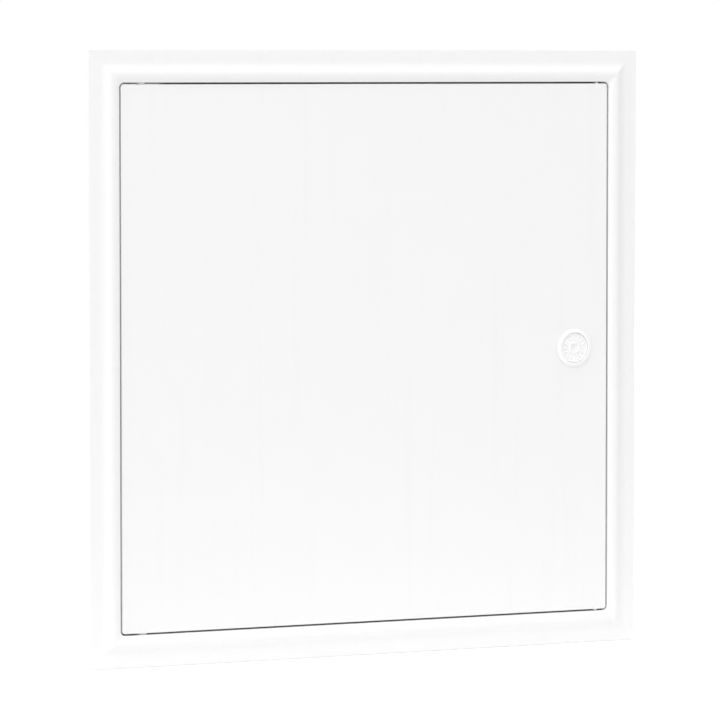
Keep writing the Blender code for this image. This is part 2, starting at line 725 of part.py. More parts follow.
def lock_body():
    """Flange with a raised rim, threaded cup, floor and hub in one moulding."""
    bore, crest, edge, soft = spindle_r + RUN, face_y - RIM_H, face_y - BEZEL_H, EDGE_R / 2
    floor_back = floor_y + FLOOR_T
    body = turned("lock_body", [
        (cup_in, crest + soft), (cup_in + soft, crest), (rim_r, crest), (rim_r + EDGE_R, crest + soft),
        (rim_r + 2 * EDGE_R, edge - soft), (bezel_r - soft, edge), (bezel_r, edge + soft),
        (bezel_r, face_y - SEAT), (CUP_R, face_y - SEAT), (CUP_R, cup_y), (cup_in, cup_y),
        (cup_in, floor_back), (hub_r, floor_back), (hub_r, hub_y), (bore, hub_y),
        (bore, floor_y), (cup_in, floor_y),
    ], lock_x)
    bm = bmesh.new()
    for i in range(4):
        turn = Matrix.Translation((lock_x, 0, 0)) @ Matrix.Rotation(math.pi / 4 * (2 * i + 1), 4, "Y")
        low = (hub_r - CUP_T / 2, floor_y + FLOOR_T / 2, -CUP_T / 2)
        add_box(bm, low, (CUP_R - CUP_T / 2, cup_y - 2 * CUP_T, CUP_T / 2), turn)
    join(body, "cup_webs", bm)
    bm = bmesh.new()
    low = (lock_x - KEY_W / 2, face_y - BEZEL_H / 2, -CUP_R - KEY_H)
    add_box(bm, low, (lock_x + KEY_W / 2, boss_y - SEAT, -CUP_R + CUP_T / 2))
    join(body, "cup_key", bm)
    bm = bmesh.new()
    turn = Matrix.Translation((lock_x, 0, 0)) @ Matrix.Rotation(-STOP_AT, 4, "Y")
    add_box(bm, (stop_in, hub_y - WALL, -STOP_W / 2), (hub_r - MERGE, cam_back_y, STOP_W / 2), turn)
    join(body, "stop_peg", bm)
    return body


def lock_washer():
    """A flat ring between the nut and the boss."""
    front, back = boss_y + SEAT, boss_y + SEAT + WASHER_T
    profile = [(lock_hole_r, front), (boss_r, front), (boss_r, back), (lock_hole_r, back)]
    return turned("lock_washer", profile, lock_x)


def lock_nut():
    """The ring nut on the cup, with notches for fingers or a spanner."""
    end = nut_y + NUT_T
    nut = turned("lock_nut", [
        (lock_hole_r, nut_y), (boss_r - EDGE_R, nut_y), (boss_r, nut_y + EDGE_R), (boss_r, end - EDGE_R),
        (boss_r - EDGE_R, end), (lock_hole_r, end),
    ], lock_x)
    bm = bmesh.new()
    for i in range(NUT_NOTCHES):
        angle, reach = 2 * math.pi * (i + 0.5) / NUT_NOTCHES, boss_r + NUT_NOTCH_R / 2
        x, z = lock_x + reach * math.cos(angle), reach * math.sin(angle)
        add_cylinder(bm, NUT_NOTCH_R, (x, nut_y - WALL, z), (x, end + WALL, z), TINY)
    cut(nut, "nut_notches", bm)
    return nut


def lock_dial():
    """The turning piece: ribbed dial with a square socket, grooved spindle and square end."""
    sunk, back, groove, soft = dial_y + DIAL_SINK, floor_y - SEAT, RING_R + SEAT, EDGE_R / 2
    dial = turned("lock_dial", [
        (0, dial_y), (head_r, dial_y), (head_r + soft, sunk), (dial_r - DIAL_RIM - soft, sunk),
        (dial_r - DIAL_RIM, dial_y), (dial_r - soft, dial_y), (dial_r, dial_y + soft), (dial_r, back),
        (spindle_r, back), (spindle_r, ring_y - groove), (groove_r, ring_y - groove),
        (groove_r, ring_y + groove), (spindle_r, ring_y + groove), (spindle_r, hub_y), (0, hub_y),
    ], lock_x)

    bm = bmesh.new()
    inner, outer = head_r + 2 * GRIP_W, dial_r - DIAL_RIM - 2 * GRIP_W
    for i in range(GRIPS):
        turn = Matrix.Translation((lock_x, 0, 0)) @ Matrix.Rotation(2 * math.pi * i / GRIPS, 4, "Y")
        add_box(bm, (inner, dial_y + RUN, -GRIP_W / 2), (outer, sunk + DIAL_SINK, GRIP_W / 2), turn)
    join(dial, "dial_grips", bm)

    bm = bmesh.new()
    half = SQUARE / 2
    add_box(bm, (lock_x - half, hub_y - WALL, -half), (lock_x + half, cam_back_y - SEAT, half))
    join(dial, "square_end", bm)

    bm = bmesh.new()
    half = SOCKET / 2
    add_box(bm, (lock_x - half, dial_y - WALL, -half), (lock_x + half, dial_y + SOCKET_L, half))
    start = cam_screw_y - CAM_SCREW_L - TIP_ROOM
    add_cylinder(bm, CAM_SCREW_R + SEAT, (lock_x, start, 0), (lock_x, cam_back_y + WALL, 0))
    cut(dial, "dial_holes", bm)
    return dial


def friction_ring():
    """The rubber ring in the spindle's groove, which holds the lock where it is left."""
    section = arc((groove_r + SEAT + RING_R, ring_y), RING_R, 0, 2 * math.pi, RING_SIDES)[:-1]
    return turned("friction_ring", section, lock_x, steps=SMALL)


def latch_cam():
    """A flat cam, pointing up while the lock is open, with a quarter-turn relief for the stop peg."""
    eye, tip = (lock_x, 0), (lock_x, cam_reach - CAM_TIP_R)
    lean = math.asin((cam_eye_r - CAM_TIP_R) / (cam_reach - CAM_TIP_R))
    relief_r = stop_in - SEAT
    spare = math.asin((STOP_W / 2 + SEAT) / relief_r)
    first, last = STOP_AT - spare, STOP_AT + math.pi / 2 + spare
    outline = arc(tip, CAM_TIP_R, lean, math.pi - lean, 2 * ARC_STEPS)
    outline += arc(eye, cam_eye_r, math.pi - lean, first, ARC_STEPS)
    outline += arc(eye, relief_r, first, last, 2 * ARC_STEPS)
    outline += arc(eye, cam_eye_r, last, 2 * math.pi + lean, ARC_STEPS)
    bm = bmesh.new()
    add_plate(bm, outline, cam_y, cam_back_y)
    cam = solid("latch_cam", bm)
    soft = cam.modifiers.new("broken_edges", "BEVEL")
    soft.width = EDGE_R / 2
    soft.segments = 2
    soft.limit_method = "ANGLE"
    bm = bmesh.new()
    low = (lock_x - cam_hole, cam_y - WALL, -cam_hole)
    add_box(bm, low, (lock_x + cam_hole, cam_back_y + WALL, cam_hole))
    cut(cam, "square_hole", bm)
    return cam


def cam_washer():
    """The washer between the cam and its screw."""
    front, bore = cam_back_y + SEAT, CAM_SCREW_R + SEAT
    back = front + CAM_WASHER_T
    profile = [(bore, front), (cam_washer_r, front), (cam_washer_r, back), (bore, back)]
    return turned("cam_washer", profile, lock_x)


def cam_screw():
    """The screw that holds the cam on the spindle."""
    profile = pan_head(CAM_SCREW_R, CAM_HEAD_R, CAM_HEAD_H, cam_screw_y, CAM_SCREW_L)
    return turned("cam_screw", profile, lock_x, steps=SMALL)


def axis_empty(name, place, carrier=None):
    """An empty on a joint's axis, which carries the pieces that move about it."""
    made = bpy.data.objects.new(name, None)
    made.empty_display_size = GAP * 10
    made.location = place
    parts.objects.link(made)
    bpy.context.view_layer.update()
    if carrier:
        carry(made, carrier)
    return made


def carry(piece, carrier):
    """Parents a piece to its carrier where it stands."""
    piece.parent = carrier
    piece.matrix_parent_inverse = carrier.matrix_world.inverted()


def shade(piece, finish):
    """Fixes the modifiers in the mesh, shades it smooth between its sharp edges and dresses it."""
    bpy.context.view_layer.update()
    mesh = bpy.data.meshes.new_from_object(piece.evaluated_get(bpy.context.evaluated_depsgraph_get()))
    piece.modifiers.clear()
    piece.data = mesh
    mesh.name = piece.name
    mesh.shade_smooth()
    mesh.set_sharp_from_angle(angle=SHARP)
    mesh.materials.append(finish)


def main():
    """Builds the pieces, dresses them and hangs them on their axes."""
    white = material("white_moulded_plastic", (0.86, 0.86, 0.85), 0.38)
    foam = material("expanded_polystyrene", (0.90, 0.90, 0.89), 0.85)
    liner = material("formed_white_sheet", (0.80, 0.80, 0.79), 0.5)
    strip = material("closed_cell_foam", (0.10, 0.10, 0.10), 0.9)
    acetal = material("natural_acetal", (0.82, 0.82, 0.79), 0.3)
    rubber = material("black_rubber", (0.03, 0.03, 0.03), 0.6)
    zinc = material("zinc_plated_steel", (0.72, 0.73, 0.75), 0.35, 1.0)

    hinge_axis = axis_empty("hinge_axis", (pivot_x, pivot_y, 0))
    latch_axis = axis_empty("latch_axis", (lock_x, hub_y / 2, 0), hinge_axis)
    made = [
        (frame_moulding(), white, None),
        (door_seal(), strip, None),
        (hinge_pin("hinge_pin_top", 1), zinc, None),
        (hinge_pin("hinge_pin_bottom", -1), zinc, None),
        (door_skin(), white, hinge_axis),
        (insulation_slab(), foam, hinge_axis),
        (door_liner(), liner, hinge_axis),
        (hinge_bush("hinge_bush_top", 1), acetal, hinge_axis),
        (hinge_bush("hinge_bush_bottom", -1), acetal, hinge_axis),
        (lock_body(), white, hinge_axis),
        (lock_washer(), rubber, hinge_axis),
        (lock_nut(), white, hinge_axis),
        (lock_dial(), white, latch_axis),
        (friction_ring(), rubber, latch_axis),
        (latch_cam(), zinc, latch_axis),
        (cam_washer(), zinc, latch_axis),
        (cam_screw(), zinc, latch_axis),
    ]
    made += [(screw, zinc, hinge_axis) for screw in liner_screws()]
    for piece, finish, carrier in made:
        shade(piece, finish)
        if carrier:
            carry(piece, carrier)


main()
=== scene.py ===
"""Looks of a ceiling access panel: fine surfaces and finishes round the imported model.

Metres, +Z up. The panel stands with its face along -Y and the ceiling void on +Y; the ceiling plane is y = 0.
Sections are written as (half size or radius, y), outlines as (x, z).
"""

import logging
import math
from collections.abc import Iterable, Mapping, Sequence
from dataclasses import dataclass, field
from enum import Enum
from typing import Any

import bmesh
import bpy
from mathutils import Matrix, Vector


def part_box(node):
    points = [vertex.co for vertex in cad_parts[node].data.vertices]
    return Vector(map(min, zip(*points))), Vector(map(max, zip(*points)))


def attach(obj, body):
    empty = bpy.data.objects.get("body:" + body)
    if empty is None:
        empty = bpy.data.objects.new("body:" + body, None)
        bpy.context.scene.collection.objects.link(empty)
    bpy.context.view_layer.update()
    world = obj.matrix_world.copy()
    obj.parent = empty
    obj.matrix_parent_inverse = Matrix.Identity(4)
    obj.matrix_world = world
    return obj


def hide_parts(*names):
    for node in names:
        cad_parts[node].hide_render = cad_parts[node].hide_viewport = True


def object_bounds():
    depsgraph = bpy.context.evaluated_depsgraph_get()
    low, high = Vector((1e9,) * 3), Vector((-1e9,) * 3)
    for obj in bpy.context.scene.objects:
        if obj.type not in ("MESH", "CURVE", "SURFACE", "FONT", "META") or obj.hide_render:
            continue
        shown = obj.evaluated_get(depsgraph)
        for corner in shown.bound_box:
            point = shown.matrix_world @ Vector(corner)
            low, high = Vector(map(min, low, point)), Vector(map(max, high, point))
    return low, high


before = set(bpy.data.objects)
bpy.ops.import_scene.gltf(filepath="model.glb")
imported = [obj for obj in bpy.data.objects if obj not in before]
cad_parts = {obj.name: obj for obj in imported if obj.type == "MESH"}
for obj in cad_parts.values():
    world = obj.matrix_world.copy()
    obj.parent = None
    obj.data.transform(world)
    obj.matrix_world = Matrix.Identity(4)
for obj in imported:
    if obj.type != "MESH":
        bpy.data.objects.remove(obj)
cad_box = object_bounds()

log = logging.getLogger("access_panel")

MM = 0.001
QUARTER = math.pi / 2
SEAT = 0.3 * MM                  # between pieces that seat on each other
RUN = 0.1 * MM                   # radial, of a shaft in its bore
MERGE = 0.002 * MM               # points closer than this are one
FACET = math.radians(11)         # turn from facet to facet in a round edge
SHARP = math.radians(38)         # edges that turn more than this are drawn sharp
ROUND = 96                       # sides of the lock's turned pieces
SMALL_ROUND = 40                 # sides of pins, bushes and posts
SCREW_ROUND = 24                 # sides of screws
SHARE = 0.48                     # of an edge, that the round at one end may take
NEARLY = 0.999                   # of a distance, for points that rounding may leave short of it
WAVE_TURN = 20                   # radians that a wave texture of scale 1 runs through in a metre
SUPPORT = 1.0 * MM               # from a round corner to the edges beside it, which keep the shading flat

# Blender's names for the kinds of nodes that come more than once
MATH = "ShaderNodeMath"
RANGE = "ShaderNodeMapRange"
MIX = "ShaderNodeMix"
NOISE = "ShaderNodeTexNoise"
CELLS = "ShaderNodeTexVoronoi"
BUMP = "ShaderNodeBump"
VECTOR = "ShaderNodeCombineXYZ"
NUMBERS = "ShaderNodeSeparateXYZ"
POSITION = "GeometryNodeInputPosition"
MOVE = "GeometryNodeSetPosition"
COPIES = "GeometryNodeInstanceOnPoints"

Point = tuple[float, float]
Outline = Sequence[Sequence[float]]
Inputs = Mapping[int | str, Any] | Sequence[Any]


class Body(str, Enum):
    """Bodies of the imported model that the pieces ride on."""

    FRAME = "frame"
    DOOR = "door"
    LATCH = "latch"


class Side(Enum):
    """Sides of the square, as quarter turns about Y from the side at +X."""

    RIGHT = 0
    BELOW = 1
    LEFT = 2
    ABOVE = 3

    @property
    def turn(self) -> Matrix:
        """The turn that takes the right-hand side there."""
        return Matrix.Rotation(QUARTER * self.value, 4, "Y")


@dataclass(frozen=True)
class Box:
    """The box of a CAD node at rest."""

    low: Vector
    high: Vector

    @classmethod
    def of(cls, node: str) -> "Box":
        """Reads a node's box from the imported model."""
        return cls(*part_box(node))

    @property
    def middle(self) -> Vector:
        """Centre of the box."""
        return (self.low + self.high) / 2

    @property
    def half(self) -> Vector:
        """Half of the box's size."""
        return (self.high - self.low) / 2


class Graph:
    """A node tree that nodes are added to."""

    def __init__(self, tree: bpy.types.NodeTree) -> None:
        """Takes the tree."""
        self.tree = tree

    def wire(self, node: bpy.types.Node, inputs: Inputs) -> None:
        """Sets or links sockets of a node.

        Args:
            node: The node.
            inputs: Values by the sockets' names or numbers, or in their order. An output is linked, and a
                node stands for its first output.
        """
        named = inputs if isinstance(inputs, Mapping) else dict(enumerate(inputs))
        for name, value in named.items():
            if isinstance(value, bpy.types.Node):
                value = value.outputs[0]
            if isinstance(value, bpy.types.NodeSocket):
                self.tree.links.new(value, node.inputs[name])
            else:
                node.inputs[name].default_value = value

    def add(self, kind: str, settings: Mapping[str, Any] | str = "", inputs: Inputs = ()) -> bpy.types.Node:
        """Adds a node with its settings and links.

        Args:
            kind: Blender's name for the kind of node.
            settings: Properties of the node, or only the name of its operation.
            inputs: What goes into its sockets, as wire takes it.

        Returns:
            The new node.
        """
        made = self.tree.nodes.new(kind)
        if isinstance(settings, str):
            settings = {"operation": settings} if settings else {}
        for name, value in settings.items():
            setattr(made, name, value)
        self.wire(made, inputs)
        return made


def linear(colour: str) -> tuple[float, float, float, float]:
    """Turns an sRGB hex colour into the linear one that a shader takes.

    Args:
        colour: A # and six hex digits.

    Returns:
        Red, green, blue and alpha.
    """
    channels = [int(colour[i:i + 2], 16) / 255 for i in (1, 3, 5)]
    low, knee = 12.92, 0.04045
    return (*(c / low if c <= knee else ((c + 0.055) / 1.055) ** 2.4 for c in channels), 1.0)


def rounded(corners: Outline, closed: bool = True) -> list[tuple[float, ...]]:
    """Rounds the corners of an outline or a section.

    Args:
        corners: Points whose last number is the radius of the round there. A number between the place and
            the radius is carried along the outline.
        closed: Whether the last corner joins the first.

    Returns:
        The points without their radius.
    """
    points: list[tuple[float, ...]] = []
    count = len(corners)
    for i, (*place, radius) in enumerate(corners):
        if radius == 0 or (not closed and i in (0, count - 1)):
            points.append(tuple(place))
            continue
        here = Vector(place)
        before, after = Vector(corners[i - 1][:-1]), Vector(corners[(i + 1) % count][:-1])
        back, ahead = (before - here).to_2d(), (after - here).to_2d()
        lengths = back.length, ahead.length
        back.normalize()
        ahead.normalize()
        opening = math.tan(back.angle(ahead) / 2)
        reach = min(radius / opening, SHARE * min(lengths))
        centre = here.to_2d() + (back + ahead).normalized() * math.hypot(reach, reach * opening)
        start, end = here.lerp(before, reach / lengths[0]), here.lerp(after, reach / lengths[1])
        first, last = start.to_2d() - centre, end.to_2d() - centre
        sweep = -first.angle_signed(last)
        steps = max(2, math.ceil(abs(sweep) / FACET))
        for k in range(steps + 1):
            spoke = Matrix.Rotation(sweep * k / steps, 2) @ first
            carried = start.lerp(end, k / steps)
            points.append((*(centre + spoke), *carried[2:]))
    return points


def oblong(low: Point, high: Point, soft: float = 0.0) -> list[tuple[float, ...]]:
    """The outline of a rectangle between two of its corners, with soft corners."""
    (left, foot), (right, top) = low, high
    return rounded([(left, foot, soft), (right, foot, soft), (right, top, soft), (left, top, soft)])


def open_left(start: float, outer: float, inner: float, soft: float, end: float) -> list[tuple[float, ...]]:
    """The outline of a U round the middle, open to the left.

    Args:
        start: Where its two ends are.
        outer: Middle to its outside.
        inner: Middle to its inside.
        soft: Radius of the corners inside.
        end: Radius of the inner corners of its ends.

    Returns:
        The points.
    """
    return rounded([
        (start, outer, 0), (outer, outer, 0), (outer, -outer, 0), (start, -outer, 0),
        (start, -inner, end), (inner, -inner, soft), (inner, inner, soft), (start, inner, end),
    ])


def arc(middle: Point, radius: float, start: float, end: float, steps: int) -> list[Point]:
    """Points of an arc between two angles."""
    angles = [start + (end - start) * i / steps for i in range(steps + 1)]
    return [(middle[0] + radius * math.cos(a), middle[1] + radius * math.sin(a)) for a in angles]


def spots(span: float, pitch: float) -> int:
    """How many copies stand between -span and span, about a pitch apart."""
    return max(2, round(2 * span / pitch))


def new_object(name: str, data: bpy.types.ID) -> bpy.types.Object:
    """Puts a mesh, a lamp or a camera in the scene.

    Args:
        name: Its name.
        data: What it shows.

    Returns:
        The object.
    """
    made = bpy.data.objects.new(name, data)
    bpy.context.scene.collection.objects.link(made)
    return made


def evaluated(piece: bpy.types.Object) -> bpy.types.Mesh:
    """A plain mesh of an object as its modifiers leave it.

    Args:
        piece: The object.

    Returns:
        The mesh.
    """
    graph = bpy.context.evaluated_depsgraph_get()
    return bpy.data.meshes.new_from_object(
        piece.evaluated_get(graph), preserve_all_data_layers=True, depsgraph=graph
    )


def close_holes(bm: bmesh.types.BMesh) -> None:
    """Puts a flat face in each open end."""
    bmesh.ops.holes_fill(bm, edges=[edge for edge in bm.edges if edge.is_boundary], sides=0)


def to_mesh(bm: bmesh.types.BMesh, name: str) -> bpy.types.Mesh:
    """Turns bm into a mesh with its faces outwards.

    Args:
        bm: The faces. It is freed.
        name: Name of the mesh.

    Returns:
        The mesh.
    """
    bmesh.ops.remove_doubles(bm, verts=bm.verts, dist=MERGE)
    bmesh.ops.recalc_face_normals(bm, faces=bm.faces)
    mesh = bpy.data.meshes.new(name)
    bm.to_mesh(mesh)
    bm.free()
    return mesh


def chain(points: Iterable[Sequence[float]], closed: bool) -> bpy.types.Mesh:
    """A chain of points, for a tree that carries it round.

    Args:
        points: Its points in order.
        closed: Whether the last one joins the first.

    Returns:
        The mesh, which has edges only.
    """
    places = [tuple(point) for point in points]
    if closed:
        places.append(places[0])
    mesh = bpy.data.meshes.new("chain")
    mesh.from_pydata(places, [(i, i + 1) for i in range(len(places) - 1)], [])
    return mesh


def prism(corners: Outline, travel: Vector, edge: float = 0.0) -> bpy.types.Mesh:
    """A closed prism.

    Args:
        corners: Corners of its first face.
        travel: From there to its last face.
        edge: Radius of its broken edges.

    Returns:
        The mesh.
    """
    bm = bmesh.new()
    face = bm.faces.new([bm.verts.new(corner) for corner in corners])
    made = bmesh.ops.extrude_face_region(bm, geom=[face])["geom"]
    bmesh.ops.translate(bm, verts=[item for item in made if isinstance(item, bmesh.types.BMVert)], vec=travel)
    if edge:
        level = MERGE * travel.length
        ends = [e for e in bm.edges if abs((e.verts[1].co - e.verts[0].co).dot(travel)) < level]
        bmesh.ops.bevel(
            bm, geom=ends, offset=edge, segments=3, profile=0.5, affect="EDGES", clamp_overlap=True
        )
    return to_mesh(bm, "prism")


def plate(outline: Outline, front: float, back: float, edge: float = 0.0) -> bpy.types.Mesh:
    """A plate with an (x, z) outline between two depths."""
    return prism([(x, front, z) for x, z in outline], Vector((0, back - front, 0)), edge)


def rib(outline: Outline, start: float, thickness: float, edge: float = 0.0) -> bpy.types.Mesh:
    """A plate with an (x, y) outline, from start along Z."""
    return prism([(x, y, start) for x, y in outline], Vector((0, 0, thickness)), edge)


def bar(outline: Outline, start: float, length: float, edge: float = 0.0) -> bpy.types.Mesh:
    """A bar with a (y, z) outline, from start along X."""
    return prism([(start, y, z) for y, z in outline], Vector((length, 0, 0)), edge)


def together(meshes: Iterable[bpy.types.Mesh]) -> bpy.types.Mesh:
    """Puts separate closed shapes in one mesh and removes them.

    Args:
        meshes: The shapes.

    Returns:
        The one mesh.
    """
    bm = bmesh.new()
    for mesh in meshes:
        bm.from_mesh(mesh)
        bpy.data.meshes.remove(mesh)
    return to_mesh(bm, "together")


@dataclass(frozen=True)
class Thread:
    """A screw thread cut in a turned wall, or in a bore when its depth is negative."""

    radius: float
    start: float
    end: float
    pitch: float
    depth: float
    rows: int = 6                        # of points to a turn
    steep: float = 1.25                  # over 1 leaves the groove a flat floor

    def stations(self) -> list[Point]:
        """Points of the wall from start to end, close enough to show the thread."""
        count = max(2, round(abs(self.end - self.start) / self.pitch * self.rows))
        return [(self.radius, self.start + (self.end - self.start) * i / count) for i in range(count + 1)]

    def sink(self, y: float, angle: float) -> float:
        """How far the wall is cut in at a place, faded out at both ends.

        Args:
            y: Depth of the place.
            angle: Its angle about Y.

        Returns:
            How far, towards the axis.
        """
        phase = (y / self.pitch + angle / (2 * math.pi)) % 1
        groove = min(1.0, self.steep * (1 - abs(2 * phase - 1)))
        run = min(abs(y - self.start), abs(self.end - y)) / self.pitch
        return self.depth * groove * min(1.0, run)


def lathe(profile: Outline, steps: int, thread: Thread | None = None) -> bpy.types.Mesh:
    """Turns a profile about Y.

    Args:
        profile: (radius, y) points. It makes a ring if the first one is off the axis.
        steps: Sides all round.
        thread: A thread on the wall whose points have its radius.

    Returns:
        The closed mesh.
    """
    bm = bmesh.new()
    rings: list[list[bmesh.types.BMVert]] = []
    for radius, y in profile:
        if radius == 0:
            rings.append([bm.verts.new((0, y, 0))] * steps)
            continue
        ring = []
        for i in range(steps):
            angle = 2 * math.pi * i / steps
            on_wall = thread and abs(radius - thread.radius) < MERGE
            reach = radius - (thread.sink(y, angle) if on_wall else 0)
            ring.append(bm.verts.new((reach * math.cos(angle), y, reach * math.sin(angle))))
        rings.append(ring)
    if profile[0][0] > 0:
        rings.append(rings[0])
    for ring, following in zip(rings, rings[1:]):
        for i in range(steps):
            j = (i + 1) % steps
            around = dict.fromkeys((ring[i], ring[j], following[j], following[i]))
            if len(around) > 2:
                bm.faces.new(around)
    return to_mesh(bm, "turned")


def rod(radius: float, low: float, high: float, steps: int = SMALL_ROUND) -> bpy.types.Mesh:
    """A plain round tool about Y, for bores."""
    return lathe([(0, low), (radius, low), (radius, high), (0, high)], steps)


def stub(radius: float, low: float, high: float, soft: float, steps: int = SMALL_ROUND) -> bpy.types.Mesh:
    """A round pad about Y, with a soft edge at its high end."""
    profile = [(0, low, 0), (radius, low, 0), (radius, high, soft), (0, high, 0)]
    return lathe(rounded(profile, closed=False), steps)


class Growth(Graph):
    """A Geometry Nodes tree with named inputs, whose result is fixed in a plain mesh."""

    def __init__(self, name: str, inputs: Mapping[str, str]) -> None:
        """Starts the tree.

        Args:
            name: Name of the tree.
            inputs: Its inputs besides the geometry and the material, and their socket kinds.
        """
        self.name = name
        super().__init__(bpy.data.node_groups.new(name, "GeometryNodeTree"))
        face = self.tree.interface
        face.new_socket("Geometry", in_out="INPUT", socket_type="NodeSocketGeometry")
        kinds = {**inputs, "Material": "NodeSocketMaterial"}
        self.sockets = {
            label: face.new_socket(label, in_out="INPUT", socket_type=kind).identifier
            for label, kind in kinds.items()
        }
        face.new_socket("Geometry", in_out="OUTPUT", socket_type="NodeSocketGeometry")
        self.start = self.add("NodeGroupInput")

    def finish(self, geometry: bpy.types.Node) -> None:
        """Ends the tree: makes the copies real and gives them the material.

        Args:
            geometry: The node that has the whole shape.
        """
        real = self.add("GeometryNodeRealizeInstances", {}, {"Geometry": geometry})
        dressed = self.add(
            "GeometryNodeSetMaterial", {}, {"Geometry": real, "Material": self.start.outputs["Material"]}
        )
        self.add("NodeGroupOutput", {}, {0: dressed})

    def grow(self, base: bpy.types.Mesh, material: bpy.types.Material, **values: float) -> bpy.types.Mesh:
        """Runs the tree on a base mesh, which is removed.

        Args:
            base: What the tree carries round or copies.
            material: What its faces get.
            values: The tree's inputs, with underscores for the spaces in their names.

        Returns:
            The plain mesh.
        """
        carrier = new_object(self.name, base)
        step = carrier.modifiers.new(self.name, "NODES")
        step.node_group = self.tree
        step[self.sockets["Material"]] = material
        for label, value in values.items():
            step[self.sockets[label.replace("_", " ").title()]] = value
        mesh = evaluated(carrier)
        carrier.modifiers.remove(step)
        bpy.data.objects.remove(carrier)
        bpy.data.meshes.remove(base)
        bm = bmesh.new()
        bm.from_mesh(mesh)
        bpy.data.meshes.remove(mesh)
        close_holes(bm)
        return to_mesh(bm, self.name)


class SquareSweep(Growth):
    """Carries a section round a square whose corners are rounded.

    The base is a chain of points: x is half the width of the square there, y the depth, and z the radius of
    its corners. Points on the axis become one.
    """

    def __init__(self) -> None:
        """Builds the tree: a grid whose rows are the chain's points and whose columns go round."""
        super().__init__("square_sweep", {"Corner Steps": "NodeSocketInt", "Support": "NodeSocketFloat"})
        steps = self.start.outputs["Corner Steps"]
        rows = self.add("GeometryNodeAttributeDomainSize", {"component": "MESH"}, {"Geometry": self.start})
        each = self.add(MATH, "ADD", (steps, 3))
        columns = self.add(MATH, "MULTIPLY_ADD", (each, 4, 1))
        grid = self.add("GeometryNodeMeshGrid", {}, {"Vertices X": rows, "Vertices Y": columns})

        index = self.add("GeometryNodeInputIndex")
        row = self.add(MATH, "FLOOR", (self.add(MATH, "DIVIDE", (index, columns)),))
        column = self.add(MATH, "MODULO", (index, columns))
        corner = self.add(MATH, "FLOOR", (self.add(MATH, "DIVIDE", (column, each)),))
        place = self.add(MATH, "SUBTRACT", (self.add(MATH, "MODULO", (column, each)), 1))
        step = self.add(MATH, "MINIMUM", (self.add(MATH, "MAXIMUM", (place, 0)), steps))
        beside = self.add(MATH, "SUBTRACT", (place, step))

        station = self.add(
            "GeometryNodeSampleIndex", {"data_type": "FLOAT_VECTOR", "domain": "POINT"},
            {"Geometry": self.start, "Value": self.add(POSITION), "Index": row},
        )
        split = self.add(NUMBERS, {}, {0: station})
        half, depth, radius = split.outputs
        corners_done = self.add(MATH, "ADD", (corner, self.add(MATH, "DIVIDE", (step, steps))))
        angle = self.add(MATH, "MULTIPLY", (corners_done, QUARTER))
        cos, sin = self.add(MATH, "COSINE", (angle,)), self.add(MATH, "SINE", (angle,))
        middle = self.add(MATH, "MULTIPLY", (self.add(MATH, "ADD", (corner, 0.5)), QUARTER))
        across = self.add(MATH, "SIGN", (self.add(MATH, "COSINE", (middle,)),))
        up = self.add(MATH, "SIGN", (self.add(MATH, "SINE", (middle,)),))
        inner = self.add(MATH, "SUBTRACT", (half, radius))
        support = self.add(MATH, "MINIMUM", (self.start.outputs["Support"], half))
        shift = self.add(MATH, "MULTIPLY", (beside, support))
        x = self.add(MATH, "MULTIPLY_ADD", (across, inner, self.add(MATH, "MULTIPLY", (radius, cos))))
        z = self.add(MATH, "MULTIPLY_ADD", (up, inner, self.add(MATH, "MULTIPLY", (radius, sin))))
        position = self.add(VECTOR, {}, {
            "X": self.add(MATH, "SUBTRACT", (x, self.add(MATH, "MULTIPLY", (shift, sin)))),
            "Y": depth,
            "Z": self.add(MATH, "MULTIPLY_ADD", (shift, cos, z)),
        })
        shaped = self.add(MOVE, {}, {"Geometry": grid, "Position": position})
        self.finish(self.add("GeometryNodeMergeByDistance", {}, {"Geometry": shaped, "Distance": MERGE}))


